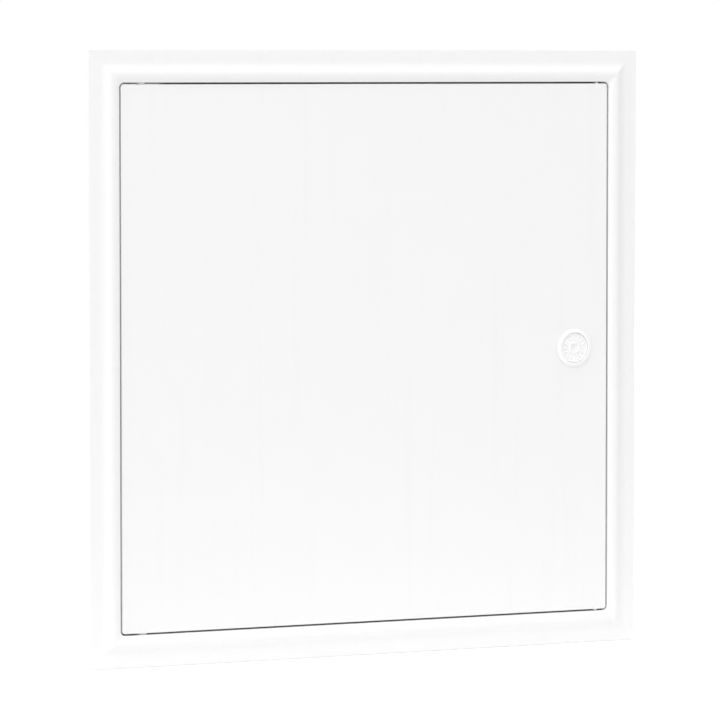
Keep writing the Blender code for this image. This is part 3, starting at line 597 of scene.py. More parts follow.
class SideRows(Growth):
    """Stands copies of one rib in rows along the four sides of a square, with some places left out.

    The base is the rib on the right-hand side: x is measured from the reach, and z along the side.
    """

    def __init__(self) -> None:
        """Builds the tree: a line of points, turned to each side, with the bare places taken out."""
        names = ("Span", "Reach", "Least X", "Bare Middle", "Bare X", "Bare Half")
        super().__init__("side_rows", {"Count": "NodeSocketInt", **dict.fromkeys(names, "NodeSocketFloat")})
        values = self.start.outputs
        pitch = self.add(MATH, "DIVIDE", (self.add(MATH, "MULTIPLY", (values["Span"], 2)), values["Count"]))
        first = self.add(MATH, "MULTIPLY_ADD", (pitch, 0.5, self.add(MATH, "MULTIPLY", (values["Span"], -1))))
        line = self.add("GeometryNodeMeshLine", {"mode": "OFFSET", "count_mode": "TOTAL"}, {
            "Count": values["Count"],
            "Start Location": self.add(VECTOR, {}, {"X": values["Reach"], "Z": first}),
            "Offset": self.add(VECTOR, {}, {"Z": pitch}),
        })
        sides = self.add(
            "GeometryNodeDuplicateElements", {"domain": "POINT"}, {"Geometry": line, "Amount": 4}
        )
        turn = self.add(MATH, "MULTIPLY", (sides.outputs["Duplicate Index"], QUARTER))
        placed = self.add(MOVE, {}, {
            "Geometry": sides,
            "Position": self.add("ShaderNodeVectorRotate", {"rotation_type": "Y_AXIS"}, {
                "Vector": self.add(POSITION), "Angle": turn,
            }),
        })
        where = self.add(NUMBERS, {}, {0: self.add(POSITION)}).outputs
        height = self.add(MATH, "ABSOLUTE", (where["Z"],))
        edge = self.add(MATH, "MULTIPLY", (values["Reach"], NEARLY))
        on_right = self.add(MATH, "GREATER_THAN", (where["X"], edge))
        on_level = self.add(MATH, "GREATER_THAN", (height, edge))
        near_middle = self.add(MATH, "LESS_THAN", (height, values["Bare Middle"]))
        off_bare = self.add(MATH, "ABSOLUTE", (self.add(MATH, "SUBTRACT", (where["X"], values["Bare X"])),))
        near_bare = self.add(MATH, "LESS_THAN", (off_bare, values["Bare Half"]))
        bare_right = self.add(MATH, "MULTIPLY", (on_right, near_middle))
        bare_level = self.add(MATH, "MULTIPLY", (on_level, near_bare))
        left_out = self.add(MATH, "MAXIMUM", (bare_right, bare_level))
        past_least = self.add(MATH, "GREATER_THAN", (where["X"], values["Least X"]))
        kept = self.add(MATH, "MULTIPLY", (past_least, self.add(MATH, "SUBTRACT", (1, left_out))))
        self.finish(self.add(COPIES, {}, {
            "Points": placed,
            "Selection": kept,
            "Instance": self.start,
            "Rotation": self.add(VECTOR, {}, {"Y": turn}),
        }))


class RoundPattern(Growth):
    """Repeats a shape round the lock's axis."""

    def __init__(self) -> None:
        """Builds the tree: points on the axis, each turned a step further."""
        super().__init__("round_pattern", {
            "Count": "NodeSocketInt", "Phase": "NodeSocketFloat", "Centre X": "NodeSocketFloat",
        })
        values = self.start.outputs
        line = self.add("GeometryNodeMeshLine", {"mode": "OFFSET", "count_mode": "TOTAL"}, {
            "Count": values["Count"],
            "Start Location": self.add(VECTOR, {}, {"X": values["Centre X"]}),
            "Offset": (0, 0, 0),
        })
        part = self.add(MATH, "DIVIDE", (self.add("GeometryNodeInputIndex"), values["Count"]))
        angle = self.add(MATH, "MULTIPLY_ADD", (part, 2 * math.pi, values["Phase"]))
        self.finish(self.add(COPIES, {}, {
            "Points": line,
            "Instance": self.start,
            "Rotation": self.add(VECTOR, {}, {"Y": angle}),
        }))


class PostPattern(Growth):
    """Stands a shape on the liner's posts: four down each side, and one at the middle of top and bottom."""

    def __init__(self) -> None:
        """Builds the tree: a grid of three by four points without the two inside, each turned at random."""
        super().__init__("post_pattern", {
            "Spread": "NodeSocketFloat", "Most Turn": "NodeSocketFloat", "Seed": "NodeSocketInt",
        })
        values = self.start.outputs
        width = self.add(MATH, "MULTIPLY", (values["Spread"], 2))
        grid = self.add("GeometryNodeMeshGrid", {}, {
            "Size X": width, "Size Y": width, "Vertices X": 3, "Vertices Y": 4,
        })
        where = self.add(NUMBERS, {}, {0: self.add(POSITION)}).outputs
        limit = self.add(MATH, "MULTIPLY", (values["Spread"], 0.5))
        on_side = self.add(MATH, "GREATER_THAN", (self.add(MATH, "ABSOLUTE", (where["X"],)), limit))
        on_end = self.add(MATH, "GREATER_THAN", (self.add(MATH, "ABSOLUTE", (where["Y"],)), limit))
        kept = self.add("GeometryNodeDeleteGeometry", {"domain": "POINT"}, {
            "Geometry": grid,
            "Selection": self.add(MATH, "SUBTRACT", (1, self.add(MATH, "MAXIMUM", (on_side, on_end)))),
        })
        upright = self.add(MOVE, {}, {
            "Geometry": kept,
            "Position": self.add(VECTOR, {}, {"X": where["X"], "Z": where["Y"]}),
        })
        turn = self.add(
            "FunctionNodeRandomValue", {"data_type": "FLOAT"},
            {2: 0.0, 3: values["Most Turn"], "Seed": values["Seed"]},
        )
        self.finish(self.add(COPIES, {}, {
            "Points": upright,
            "Instance": self.start,
            "Rotation": self.add(VECTOR, {}, {"Y": turn.outputs[1]}),
        }))


class Draft:
    """A mesh that other shapes are joined to and cut from, in one Boolean step each."""

    def __init__(self, mesh: bpy.types.Mesh) -> None:
        """Starts from a closed mesh."""
        self.start = mesh
        self.steps: dict[str, list[bpy.types.Mesh]] = {"UNION": [], "DIFFERENCE": []}

    def join(self, *meshes: bpy.types.Mesh) -> "Draft":
        """Notes meshes to join on. Those of one call stay clear of each other."""
        self.steps["UNION"].append(together(meshes))
        return self

    def cut(self, *meshes: bpy.types.Mesh) -> "Draft":
        """Notes meshes to cut out. Those of one call stay clear of each other."""
        self.steps["DIFFERENCE"].append(together(meshes))
        return self

    def mesh(self) -> bpy.types.Mesh:
        """Runs the steps, and removes what went into them.

        Returns:
            The plain mesh.
        """
        work = new_object("draft", self.start)
        tools = []
        for operation, meshes in self.steps.items():
            if not meshes:
                continue
            step = work.modifiers.new(operation, "BOOLEAN")
            step.operation = operation
            step.solver = "EXACT"
            step.use_self = len(meshes) > 1          # those of different calls may cross
            step.object = new_object("tool", together(meshes))
            tools.append(step.object)
        made = evaluated(work)
        for item in (work, *tools):
            data = item.data
            bpy.data.objects.remove(item)
            bpy.data.meshes.remove(data)
        return made


@dataclass(frozen=True)
class Look:
    """What a finish leads into its shader."""

    height: bpy.types.Node                      # relief, from 0 to 1
    depth: float
    strength: float
    tint: bpy.types.Node | None = None          # from the first colour to the second
    colours: tuple[str, str] = ("", "")
    gloss: bpy.types.Node | None = None         # from one roughness to another
    gloss_from: tuple[float, float] = (0.0, 1.0)
    gloss_to: tuple[float, float] = (0.0, 0.0)  # added to the finish's own roughness
    others: Mapping[str, float] = field(default_factory=dict)


@dataclass(frozen=True)
class Finish:
    """A surface as it was made."""

    name: str
    slot: str
    colour: str
    roughness: float

    def make(self) -> bpy.types.Material:
        """Builds the material once and keeps it by its name.

        Returns:
            The material.
        """
        found = bpy.data.materials.get(self.name)
        if found:
            return found
        made = bpy.data.materials.new(self.name)
        made.use_nodes = True
        made.diffuse_color = linear(self.colour)
        graph = Graph(made.node_tree)
        look = self.look(graph, graph.add("ShaderNodeTexCoord").outputs["Object"])
        bump = graph.add(BUMP, {}, {"Strength": look.strength, "Distance": look.depth, "Height": look.height})
        inputs: dict[int | str, Any] = {
            "Base Color": linear(self.colour), "Roughness": self.roughness, "Normal": bump, **look.others,
        }
        if look.tint is not None:
            first, second = (linear(colour) for colour in look.colours)
            tinted = graph.add(MIX, {"data_type": "RGBA"}, {0: look.tint, 6: first, 7: second})
            inputs["Base Color"] = tinted.outputs[2]
        if look.gloss is not None:
            (low, high), (least, most) = look.gloss_from, look.gloss_to
            inputs["Roughness"] = graph.add(RANGE, {}, {
                "Value": look.gloss, "From Min": low, "From Max": high,
                "To Min": self.roughness + least, "To Max": self.roughness + most,
            })
        graph.wire(graph.tree.nodes["Principled BSDF"], inputs)
        return made

    def look(self, graph: Graph, place: bpy.types.NodeSocket) -> Look:
        """Adds the patterns that the eye finds close up. Each finish has its own."""
        raise NotImplementedError


@dataclass(frozen=True)
class MouldedPlastic(Finish):
    """Injection-moulded plastic: satin white, with a fine spark-eroded texture and faint flow streaks."""

    shade: str = "#F0F0F0"          # where the surface is a touch dull
    grain: float = 0.9 * MM         # real grain is 0.1 mm: drawn coarser so that it shows
    grain_depth: float = 0.006 * MM
    streak: float = 7 * MM          # width of a flow streak; they run down the panel
    streak_length: float = 240 * MM
    polish: float = 45 * MM         # patches where the gloss changes

    def look(self, graph: Graph, place: bpy.types.NodeSocket) -> Look:
        """Grain as bump, streaks in the colour, soft patches in the gloss.

        Args:
            graph: The material's tree.
            place: The piece's own coordinates.

        Returns:
            What goes into the shader.
        """
        grain = graph.add(NOISE, {}, {
            "Vector": place, "Scale": 1 / self.grain, "Detail": 3.0, "Roughness": 0.6,
        })
        drawn = graph.add("ShaderNodeMapping", {}, {
            "Vector": place, "Scale": (1 / self.streak, 1 / self.streak, 1 / self.streak_length),
        })
        streaks = graph.add(NOISE, {}, {"Vector": drawn, "Scale": 1.0, "Detail": 2.0})
        amount = graph.add(RANGE, {"interpolation_type": "SMOOTHSTEP"}, {
            "Value": streaks, "From Min": 0.52, "From Max": 0.78, "To Min": 0.0, "To Max": 0.25,
        })
        patches = graph.add(NOISE, {}, {
            "Vector": place, "Scale": 1 / self.polish, "Detail": 4.0, "Roughness": 0.65,
        })
        return Look(
            grain, self.grain_depth, 1.0, amount, (self.colour, self.shade), patches,
            gloss_from=(0.3, 0.7), gloss_to=(-0.05, 0.06),
        )


@dataclass(frozen=True)
class FormedSheet(Finish):
    """Vacuum-formed polystyrene sheet: a leathery hair-cell texture, duller than a moulding."""

    cell: float = 1.4 * MM
    cell_depth: float = 0.05 * MM
    warp: float = 1.5               # in cells, for the wrinkles' wander
    # painted shade: the colour drawn in the valleys between the hair cells
    shade: str = "#E7E6E3"

    def look(self, graph: Graph, place: bpy.types.NodeSocket) -> Look:
        """Hair-cell wrinkles from a warped cell pattern: glossier on their crests, with painted shade
        darkening the valleys between them.

        Args:
            graph: The material's tree.
            place: The piece's own coordinates.

        Returns:
            What goes into the shader.
        """
        noise = graph.add(NOISE, {}, {"Vector": place, "Scale": 0.5 / self.cell, "Detail": 2.0})
        bent = graph.add(MIX, {"data_type": "RGBA", "blend_type": "LINEAR_LIGHT"}, {
            0: self.cell * self.warp, 6: place, 7: noise.outputs["Color"],
        })
        cells = graph.add(CELLS, {"feature": "DISTANCE_TO_EDGE"}, {
            "Vector": bent.outputs[2], "Scale": 1 / self.cell,
        })
        crest = graph.add(RANGE, {"interpolation_type": "SMOOTHSTEP"}, {
            "Value": cells, "From Min": 0.0, "From Max": 0.25,
        })
        # the crest mask also paints shade into the valleys, from the colour towards the shade colour
        return Look(
            crest, self.cell_depth, 0.6, crest, (self.shade, self.colour), crest, gloss_to=(0.12, 0.0)
        )


@dataclass(frozen=True)
class ExpandedBeads(Finish):
    """Expanded polystyrene, moulded from beads that show as 4 mm cells with a fine groove between them."""

    bead: float = 4 * MM
    groove: float = 0.25 * MM
    # painted shade in the grooves between the beads; each bead's own tone also leans towards it
    shade: str = "#E4E5E2"

    def look(self, graph: Graph, place: bpy.types.NodeSocket) -> Look:
        """Grooves between the beads as bump and painted shade, each bead a little different in tone.

        Args:
            graph: The material's tree.
            place: The piece's own coordinates.

        Returns:
            What goes into the shader.
        """
        pattern = {"Vector": place, "Scale": 1 / self.bead}
        edges = graph.add(CELLS, {"feature": "DISTANCE_TO_EDGE"}, pattern)
        beads = graph.add(CELLS, {"feature": "F1"}, pattern)
        dome = graph.add(RANGE, {"interpolation_type": "SMOOTHSTEP"}, {
            "Value": edges, "From Min": 0.0, "From Max": 0.14,
        })
        own = graph.add("ShaderNodeSeparateColor", {}, (beads.outputs["Color"],))
        # painted shade, dark in the grooves, times a random tone of each bead
        groove_shade_and_bead_tone = graph.add(MATH, "MULTIPLY", (dome, graph.add(MATH, "MULTIPLY_ADD", (own, 0.35, 0.65))))
        return Look(dome, self.groove, 0.8, groove_shade_and_bead_tone, (self.shade, self.colour))


@dataclass(frozen=True)
class CellFoam(Finish):
    """Closed-cell foam strip, cut from a bun: dull charcoal, with open half cells on its cut faces."""

    pore: float = 0.7 * MM
    pore_depth: float = 0.2 * MM
    # painted shade at the bottoms of the pores
    shade: str = "#161718"

    def look(self, graph: Graph, place: bpy.types.NodeSocket) -> Look:
        """Round pores, with painted shade at their bottoms.

        Args:
            graph: The material's tree.
            place: The piece's own coordinates.

        Returns:
            What goes into the shader.
        """
        pores = graph.add(CELLS, {"feature": "F1"}, {"Vector": place, "Scale": 1 / self.pore})
        floor = graph.add(RANGE, {"interpolation_type": "SMOOTHSTEP"}, {
            "Value": pores, "From Min": 0.1, "From Max": 0.45,
        })
        # the pore floors take painted shade, towards the shade colour
        return Look(floor, self.pore_depth, 0.9, floor, (self.shade, self.colour))


@dataclass(frozen=True)
class NaturalAcetal(Finish):
    """Natural acetal, machined from rod: milky white and slippery, with fine turning marks."""

    feed: float = QUARTER * MM       # real turning marks are finer: drawn coarser so that they show
    mark: float = 0.01 * MM
    glow: float = 0.15               # light that goes into the plastic
    glow_depth: float = 1.2 * MM

    def look(self, graph: Graph, place: bpy.types.NodeSocket) -> Look:
        """Turning marks across the pivot axis, and a little light inside.

        Args:
            graph: The material's tree.
            place: The piece's own coordinates.

        Returns:
            What goes into the shader.
        """
        marks = graph.add("ShaderNodeTexWave", {"wave_type": "BANDS", "bands_direction": "Z"}, {
            "Vector": place, "Scale": 4 * QUARTER / self.feed / WAVE_TURN, "Distortion": 0.4, "Detail": 1.0,
        })
        inside = {"Subsurface Weight": self.glow, "Subsurface Scale": self.glow_depth}
        return Look(marks, self.mark, 0.5, gloss=marks, gloss_to=(-0.05, 0.08), others=inside)


@dataclass(frozen=True)
class BlackRubber(Finish):
    """Moulded nitrile rubber: near black and matt, with a grey bloom in patches."""

    bloom: str = "#3A3A39"
    patch: float = 3 * MM
    grain: float = 0.2 * MM
    grain_depth: float = 0.01 * MM

    def look(self, graph: Graph, place: bpy.types.NodeSocket) -> Look:
        """Bloom in the colour and the gloss, and a fine grain.

        Args:
            graph: The material's tree.
            place: The piece's own coordinates.

        Returns:
            What goes into the shader.
        """
        patches = graph.add(NOISE, {}, {"Vector": place, "Scale": 1 / self.patch, "Detail": 5.0})
        amount = graph.add(RANGE, {}, {"Value": patches, "From Min": 0.45, "From Max": 0.75, "To Max": 0.5})
        grain = graph.add(NOISE, {}, {"Vector": place, "Scale": 1 / self.grain})
        return Look(
            grain, self.grain_depth, 0.5, amount, (self.colour, self.bloom), amount, gloss_to=(0.0, 0.2)
        )


@dataclass(frozen=True)
class ZincPlate(Finish):
    """Pressed or turned steel, zinc plated and clear passivated: bluish with a pale yellow drift."""

    drift: str = "#C6C2B2"
    drift_size: float = 6 * MM
    scratch: float = 0.12 * MM       # real brushing is finer: drawn coarser so that it shows
    scratch_length: float = 5 * MM
    scratch_depth: float = 0.004 * MM
    scratch_turn: float = 0.5

    def look(self, graph: Graph, place: bpy.types.NodeSocket) -> Look:
        """Passivate drift in the colour, cloudy gloss and short scratches.

        Args:
            graph: The material's tree.
            place: The piece's own coordinates.

        Returns:
            What goes into the shader.
        """
        clouds = graph.add(NOISE, {}, {
            "Vector": place, "Scale": 1 / self.drift_size, "Detail": 5.0, "Roughness": 0.6,
        })
        amount = graph.add(RANGE, {}, {"Value": clouds, "From Min": 0.4, "From Max": 0.7, "To Max": 0.8})
        drawn = graph.add("ShaderNodeMapping", {}, {
            "Vector": place, "Rotation": (0.0, self.scratch_turn, 0.0),
            "Scale": (1 / self.scratch_length, 1 / self.scratch, 1 / self.scratch),
        })
        scratches = graph.add(NOISE, {}, {"Vector": drawn, "Scale": 1.0, "Detail": 2.0})
        return Look(
            scratches, self.scratch_depth, 0.6, amount, (self.colour, self.drift), clouds,
            gloss_from=(0.3, 0.7), gloss_to=(-0.08, 0.1), others={"Metallic": 1.0},
        )


WHITE = MouldedPlastic("white_moulded_polystyrene", "white_plastic", "#F4F4F4", 0.36)
# the lock's paler white is painted light, which lifts the shade that the raised rim casts into the lock's cup
NYLON = MouldedPlastic("white_moulded_nylon", "white_plastic", "#FBFBFB", 0.3, shade="#F7F7F7")
SHEET = FormedSheet("formed_polystyrene_sheet", "liner_sheet", "#F1F0EE", 0.48)
BEADS = ExpandedBeads("expanded_polystyrene_beads", "insulation", "#F7F7F5", 0.8)
FOAM = CellFoam("closed_cell_foam", "seal_foam", "#2E2F30", 0.92)
ACETAL = NaturalAcetal("natural_acetal", "acetal", "#EFEFE9", 0.3)
RUBBER = BlackRubber("nitrile_rubber", "rubber", "#1A1A1B", 0.55)
ZINC = ZincPlate("zinc_plated_steel", "zinc_steel", "#C3C8CE", 0.34)


@dataclass(frozen=True)
class Tools:
    """The four trees, built once."""

    sweep: SquareSweep = field(default_factory=SquareSweep)
    rows: SideRows = field(default_factory=SideRows)
    around: RoundPattern = field(default_factory=RoundPattern)
    posts: PostPattern = field(default_factory=PostPattern)


def finish_piece(
    mesh: bpy.types.Mesh, name: str, body: Body, finish: Finish, nodes: Sequence[str]
) -> None:
    """Shades a mesh, dresses it and sets it on its body.

    Args:
        mesh: The finished shape, in its place.
        name: Name of the piece.
        body: The body that it rides on.
        finish: Its surface.
        nodes: The CAD nodes that it stands for.
    """
    bm = bmesh.new()
    bm.from_mesh(mesh)
    close_holes(bm)
    bmesh.ops.recalc_face_normals(bm, faces=bm.faces)
    loose = 0
    for face in bm.faces:
        face.smooth = True
        face.material_index = 0
    for edge in bm.edges:
        joined = len(edge.link_faces) == 2
        edge.smooth = joined and edge.calc_face_angle() < SHARP
        loose += not joined
    bm.to_mesh(mesh)
    bm.free()
    mesh.materials.clear()
    mesh.materials.append(finish.make())
    draft = new_object("shading", mesh)
    weighted = draft.modifiers.new("weighted", "WEIGHTED_NORMAL")
    weighted.keep_sharp = True
    plain = evaluated(draft)
    bpy.data.objects.remove(draft)
    bpy.data.meshes.remove(mesh)
    plain.name = name
    piece = new_object(name, plain)
    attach(piece, body.value)
    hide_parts(*nodes)
    plain.calc_loop_triangles()
    log.info("%s: %d triangles, %d open edges", name, len(plain.loop_triangles), loose)


def box_of(node: str) -> Any:
    """A field with the box of a CAD node."""
    return field(default_factory=lambda: Box.of(node))


@dataclass(frozen=True)
class Layout:
    """Places that the pieces share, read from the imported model."""

    panel: Box = box_of("frame_moulding")
    door: Box = box_of("door_skin")
    slab: Box = box_of("insulation_slab")
    liner: Box = box_of("door_liner")
    seal: Box = box_of("door_seal")
    pin: Box = box_of("hinge_pin_top")
    lock: Box = box_of("lock_body")
    washer: Box = box_of("lock_washer")
    nut: Box = box_of("lock_nut")
    dial: Box = box_of("lock_dial")
    cam: Box = box_of("latch_cam")
    cam_washer: Box = box_of("cam_washer")
    screw: Box = box_of("liner_screw_1")
    gap: float = 1.8 * MM
    wall: float = 3 * MM
    aperture_round: float = 5 * MM
    door_depth: float = 22 * MM
    pin_radius: float = 2.5 * MM
    cup_radius: float = 17 * MM

    @property
    def panel_half(self) -> float:
        """Middle to the outer edge of the panel."""
        return self.panel.high.x

    @property
    def door_half(self) -> float:
        """Middle to the edge of the door."""
        return self.door.high.x

    @property
    def aperture(self) -> float:
        """Middle to the edge of the opening in the frame."""
        return self.door_half + self.gap

    @property
    def door_in(self) -> float:
        """Middle to the inside of the door's flange."""
        return self.door_half - self.wall

    @property
    def face_y(self) -> float:
        """Face of the door."""
        return self.door.low.y

    @property
    def skin_y(self) -> float:
        """Back of the door's face."""
        return self.face_y + self.wall

    @property
    def flange_y(self) -> float:
        """Back edge of the door's flange."""
        return self.face_y + self.door_depth

    @property
    def pivot(self) -> Vector:
        """A point on the pivot axis."""
        return Vector((self.pin.middle.x, self.pin.middle.y, 0))

    @property
    def lock_x(self) -> float:
        """The lock's axis."""
        return self.washer.middle.x

    @property
    def post_spread(self) -> float:
        """Middle to the posts."""
        return -self.screw.middle.x

    def at_lock(self, mesh: bpy.types.Mesh, turn: float = 0.0) -> bpy.types.Mesh:
        """Moves a mesh made round the Y axis to the lock's axis."""
        mesh.transform(Matrix.Translation((self.lock_x, 0, 0)) @ Matrix.Rotation(turn, 4, "Y"))
        return mesh

    def on_pivot(self, mesh: bpy.types.Mesh, up: int) -> bpy.types.Mesh:
        """Moves a mesh made round the Y axis to the pivot axis, above or below."""
        mesh.transform(Matrix.Translation(self.pivot) @ Matrix.Rotation(up * QUARTER, 4, "X"))
        return mesh


def ogee(start: Point, end: Point, first: float, steps: int = 14) -> list[Point]:
    """Two tangent arcs from start to end, level at both ends.

    Args:
        start: Lower end, as (in from the edge, height).
        end: Upper end.
        first: Width of the hollow arc.
        steps: Facets in each arc.

    Returns:
        The points.
    """
    width, lift = end[0] - start[0], end[1] - start[1]
    slope = 2 * math.atan2(lift, width)
    hollow_r, crown_r = first / math.sin(slope), (width - first) / math.sin(slope)
    angles = [slope * i / steps for i in range(steps + 1)]
    hollow = [(start[0] + hollow_r * math.sin(a), start[1] + hollow_r * (1 - math.cos(a))) for a in angles]
    crown = [(end[0] - crown_r * math.sin(a), end[1] - crown_r * (1 - math.cos(a))) for a in angles]
    return hollow + crown[-2::-1]


def flank(start: Point, end: Point, steps: int = 12) -> list[Point]:
    """An arc that leaves start level and ends at end, without its first point.

    Args:
        start: Its level end.
        end: Its other end.
        steps: Its facets.

    Returns:
        The points.
    """
    width, drop = end[0] - start[0], start[1] - end[1]
    radius = width / math.sin(2 * math.atan2(drop, width))
    last = math.asin(width / radius)
    angles = [last * i / steps for i in range(1, steps + 1)]
    return [(start[0] + radius * math.sin(a), start[1] - radius * (1 - math.cos(a))) for a in angles]


@dataclass
class Frame:
    """The fixed frame: architrave, upstand, stop ledge, seal and pivot pins."""

    layout: Layout
    tools: Tools
    border: float = 32.5 * MM
    band_width: float = 12 * MM
    band_height: float = 3 * MM
    hollow_width: float = 8 * MM
    crest_in: float = 24.5 * MM
    mitre_round: float = 0.25 * MM       # the mitres are crisp, but a mould leaves no knife edge
    outer_round: float = 0.6 * MM
    edge: float = 0.6 * MM
    upstand_wall: float = 4 * MM
    bead_length: float = 4 * MM
    bead_height: float = 2 * MM
    rib_thickness: float = 1.5 * MM
    rib_pitch: float = 50 * MM
    rib_short: float = 0.5 * MM
    ledge_width: float = 10 * MM
    ledge_thickness: float = 3 * MM
    gusset_thickness: float = 2 * MM
    gusset_length: float = 14 * MM
    gusset_pitch: float = 85 * MM
    fixing_from_middle: float = 150 * MM
    fixing_radius: float = 2.5 * MM
    fixing_head_radius: float = 5 * MM
    fixing_pad_radius: float = 9 * MM
    fixing_pad_thickness: float = 1.5 * MM
    pin_head_thickness: float = 1.2 * MM
    pin_pad_radius: float = 6.5 * MM
    lip_y: float = 13 * MM
    lip_width: float = 2 * MM
    lip_height: float = 1.2 * MM
    lip_lap: float = 1 * MM
    seal_back: float = 0.5 * MM          # from the free edge of the ledge
    strike_length: float = 26 * MM
    strike_ramp: float = 7 * MM
    strike_gap: float = 0.5 * MM

    @property
    def ledge_y(self) -> float:
        """Front of the stop ledge, where the seal sits."""
        return self.layout.seal.high.y + SEAT

    @property
    def ledge_back_y(self) -> float:
        """Back of the stop ledge."""
        return self.ledge_y + self.ledge_thickness

    @property
    def ledge_in(self) -> float:
        """Middle to the free edge of the ledge."""
        return self.layout.aperture - self.ledge_width

    @property
    def ledge_x(self) -> float:
        """Where the ledge starts, past the sweep of the door's heel."""
        return self.layout.seal.low.x - SEAT

    @property
    def fixing_y(self) -> float:
        """Depth of the fixing holes."""
        return (self.ledge_back_y + self.gusset_length + self.layout.panel.high.y - self.bead_length) / 2

    def build(self) -> None:
        """Builds the frame's pieces."""
        self.moulding()
        self.seal()
        for name, up in (("pivot_pin_upper", 1), ("pivot_pin_lower", -1)):
            self.pin(name, up)

    def section(self) -> list[tuple[float, ...]]:
        """The frame's section as (half size, y, corner radius) points.

        Returns:
            The points.
        """
        at = self.layout
        panel, aperture, depth = at.panel_half, at.aperture, at.panel.high.y
        crest, face = -at.panel.low.y, -at.face_y
        wall_half, round_out = aperture + self.upstand_wall, at.aperture_round + self.upstand_wall
        bead, round_bead = aperture - self.bead_height, at.aperture_round - self.bead_height
        front = ogee((self.band_width, self.band_height), (self.crest_in, crest), self.hollow_width)
        inner = flank((self.crest_in, crest), (self.border, face))
        grow = (at.aperture_round - self.mitre_round) / (self.border - self.crest_in)
        mitre = self.mitre_round
        corners: list[tuple[float, ...]] = [
            (panel, 0, self.outer_round, 0.3 * MM),
            (panel, -self.band_height, self.outer_round, self.edge),
            *((panel - u, -h, mitre, 0) for u, h in front),
            *((panel - u, -h, mitre + grow * (u - self.crest_in), 0) for u, h in inner[:-1]),
            (aperture, -face, at.aperture_round, 0.4 * MM),
            (aperture, depth - self.bead_length - self.bead_height, at.aperture_round, 2 * MM),
            (bead, depth - self.bead_length, round_bead, 1 * MM),
            (bead, depth, round_bead, self.edge),
            (wall_half, depth, round_out, self.edge),
            (wall_half, at.wall * 1.25 - crest, round_out, 0.7 * MM),
            (wall_half + at.wall / 2, at.wall - crest, round_out, 0.7 * MM),
            (panel - self.crest_in + at.wall, at.wall - crest, mitre, 2 * MM),
            (panel - self.band_width - at.wall / 2, 0, mitre, 0.5 * MM),
        ]
        return rounded(corners)

    def moulding(self) -> None:
        """The frame in one moulding, with its ribs, ledge, gussets, strike, pads, lips and holes."""
        white = WHITE.make()
        section = chain(self.section(), closed=True)
        shell = self.tools.sweep.grow(section, white, corner_steps=10, support=SUPPORT)
        ledge = Draft(self.ledge()).join(self.gussets(white), self.strike()).mesh()
        ribbed = Draft(shell).join(self.ribs(white), ledge).mesh()
        draft = Draft(ribbed).join(*self.pads(), *self.lips()).cut(self.holes())
        finish_piece(draft.mesh(), "frame_architrave", Body.FRAME, WHITE, ["frame_moulding"])

    def ribs(self, white: bpy.types.Material) -> bpy.types.Mesh:
        """Ribs across the hollow behind the architrave.

        Args:
            white: The moulding's material.

        Returns:
            All of them in one mesh.
        """
        at = self.layout
        depth = -at.panel.low.y - at.wall + at.wall / 4
        outline = [
            (self.band_width + at.wall / 2, self.rib_short),
            (self.band_width + at.wall / 2, at.wall / 4),
            (self.crest_in - at.wall, depth),
            (self.border - self.upstand_wall - at.wall / 2, depth),
            (self.border - self.upstand_wall + at.wall / 4, depth - at.wall / 4),
            (self.border - self.upstand_wall + at.wall / 4, self.rib_short),
        ]
        across = rib([(at.panel_half - u - at.aperture, -h) for u, h in outline], 0, self.rib_thickness)
        count = spots(at.aperture, self.rib_pitch)
        return self.tools.rows.grow(
            across, white, count=count, span=at.aperture, reach=at.aperture, least_x=-1.0,
            bare_middle=0.0, bare_x=0.0, bare_half=0.0,
        )

    def ledge(self) -> bpy.types.Mesh:
        """The stop ledge: a U that is open towards the pivots.

        Returns:
            The ledge without its gussets.
        """
        outer, inner, start = self.layout.aperture + self.upstand_wall / 2, self.ledge_in, self.ledge_x
        outline = open_left(start, outer, inner, soft=3 * MM, end=1.5 * MM)
        return plate(outline, self.ledge_y, self.ledge_back_y, 0.4 * MM)

    def gussets(self, white: bpy.types.Material) -> bpy.types.Mesh:
        """Gussets between the back of the ledge and the walls.

        Args:
            white: The moulding's material.

        Returns:
            All of them in one mesh.
        """
        at = self.layout
        sunk, end = self.ledge_back_y - self.ledge_thickness / 2, self.ledge_back_y + self.gusset_length
        wall, top, foot = self.upstand_wall / 2, -self.gusset_thickness / 2, self.ledge_width * 0.85
        outline = [(wall, sunk), (wall, end), (top, end), (-foot, self.ledge_back_y), (-foot, sunk)]
        gusset = rib(outline, 0, self.gusset_thickness, 0.25 * MM)
        return self.tools.rows.grow(
            gusset, white, count=spots(self.ledge_in, self.gusset_pitch), span=self.ledge_in,
            reach=at.aperture, least_x=self.ledge_x + self.gusset_thickness,
            bare_middle=at.cam.high.z + at.cam.half.x, bare_x=0.0, bare_half=0.0,
        )

    def strike(self) -> bpy.types.Mesh:
        """The pad that the cam rides up on, with a ramp at its upper end.

        Returns:
            The pad.
        """
        half, top = self.strike_length / 2, self.layout.cam.low.y - self.strike_gap
        sunk = self.ledge_back_y - self.ledge_thickness / 2
        low = self.ledge_back_y + (top - self.ledge_back_y) / 4
        outline = rounded([
            (-half, sunk, 0), (-half, top, 0.5 * MM), (half, top, 2 * MM),
            (half + self.strike_ramp, low, 0.2 * MM), (half + self.strike_ramp, sunk, 0),
        ])
        length = self.ledge_width + self.upstand_wall / 2
        return bar([(y, z) for z, y in outline], self.ledge_in, length, 0.25 * MM)

    def fixings(self) -> list[Matrix]:
        """Places of the fixing holes: a turn to each side and a shift along it.

        Returns:
            A place for each hole.
        """
        shifts = [Matrix.Translation((0, self.fixing_y, s * self.fixing_from_middle)) for s in (-1, 1)]
        outwards = Matrix.Rotation(-QUARTER, 4, "Z")
        return [side.turn @ shift @ outwards for side in Side for shift in shifts]

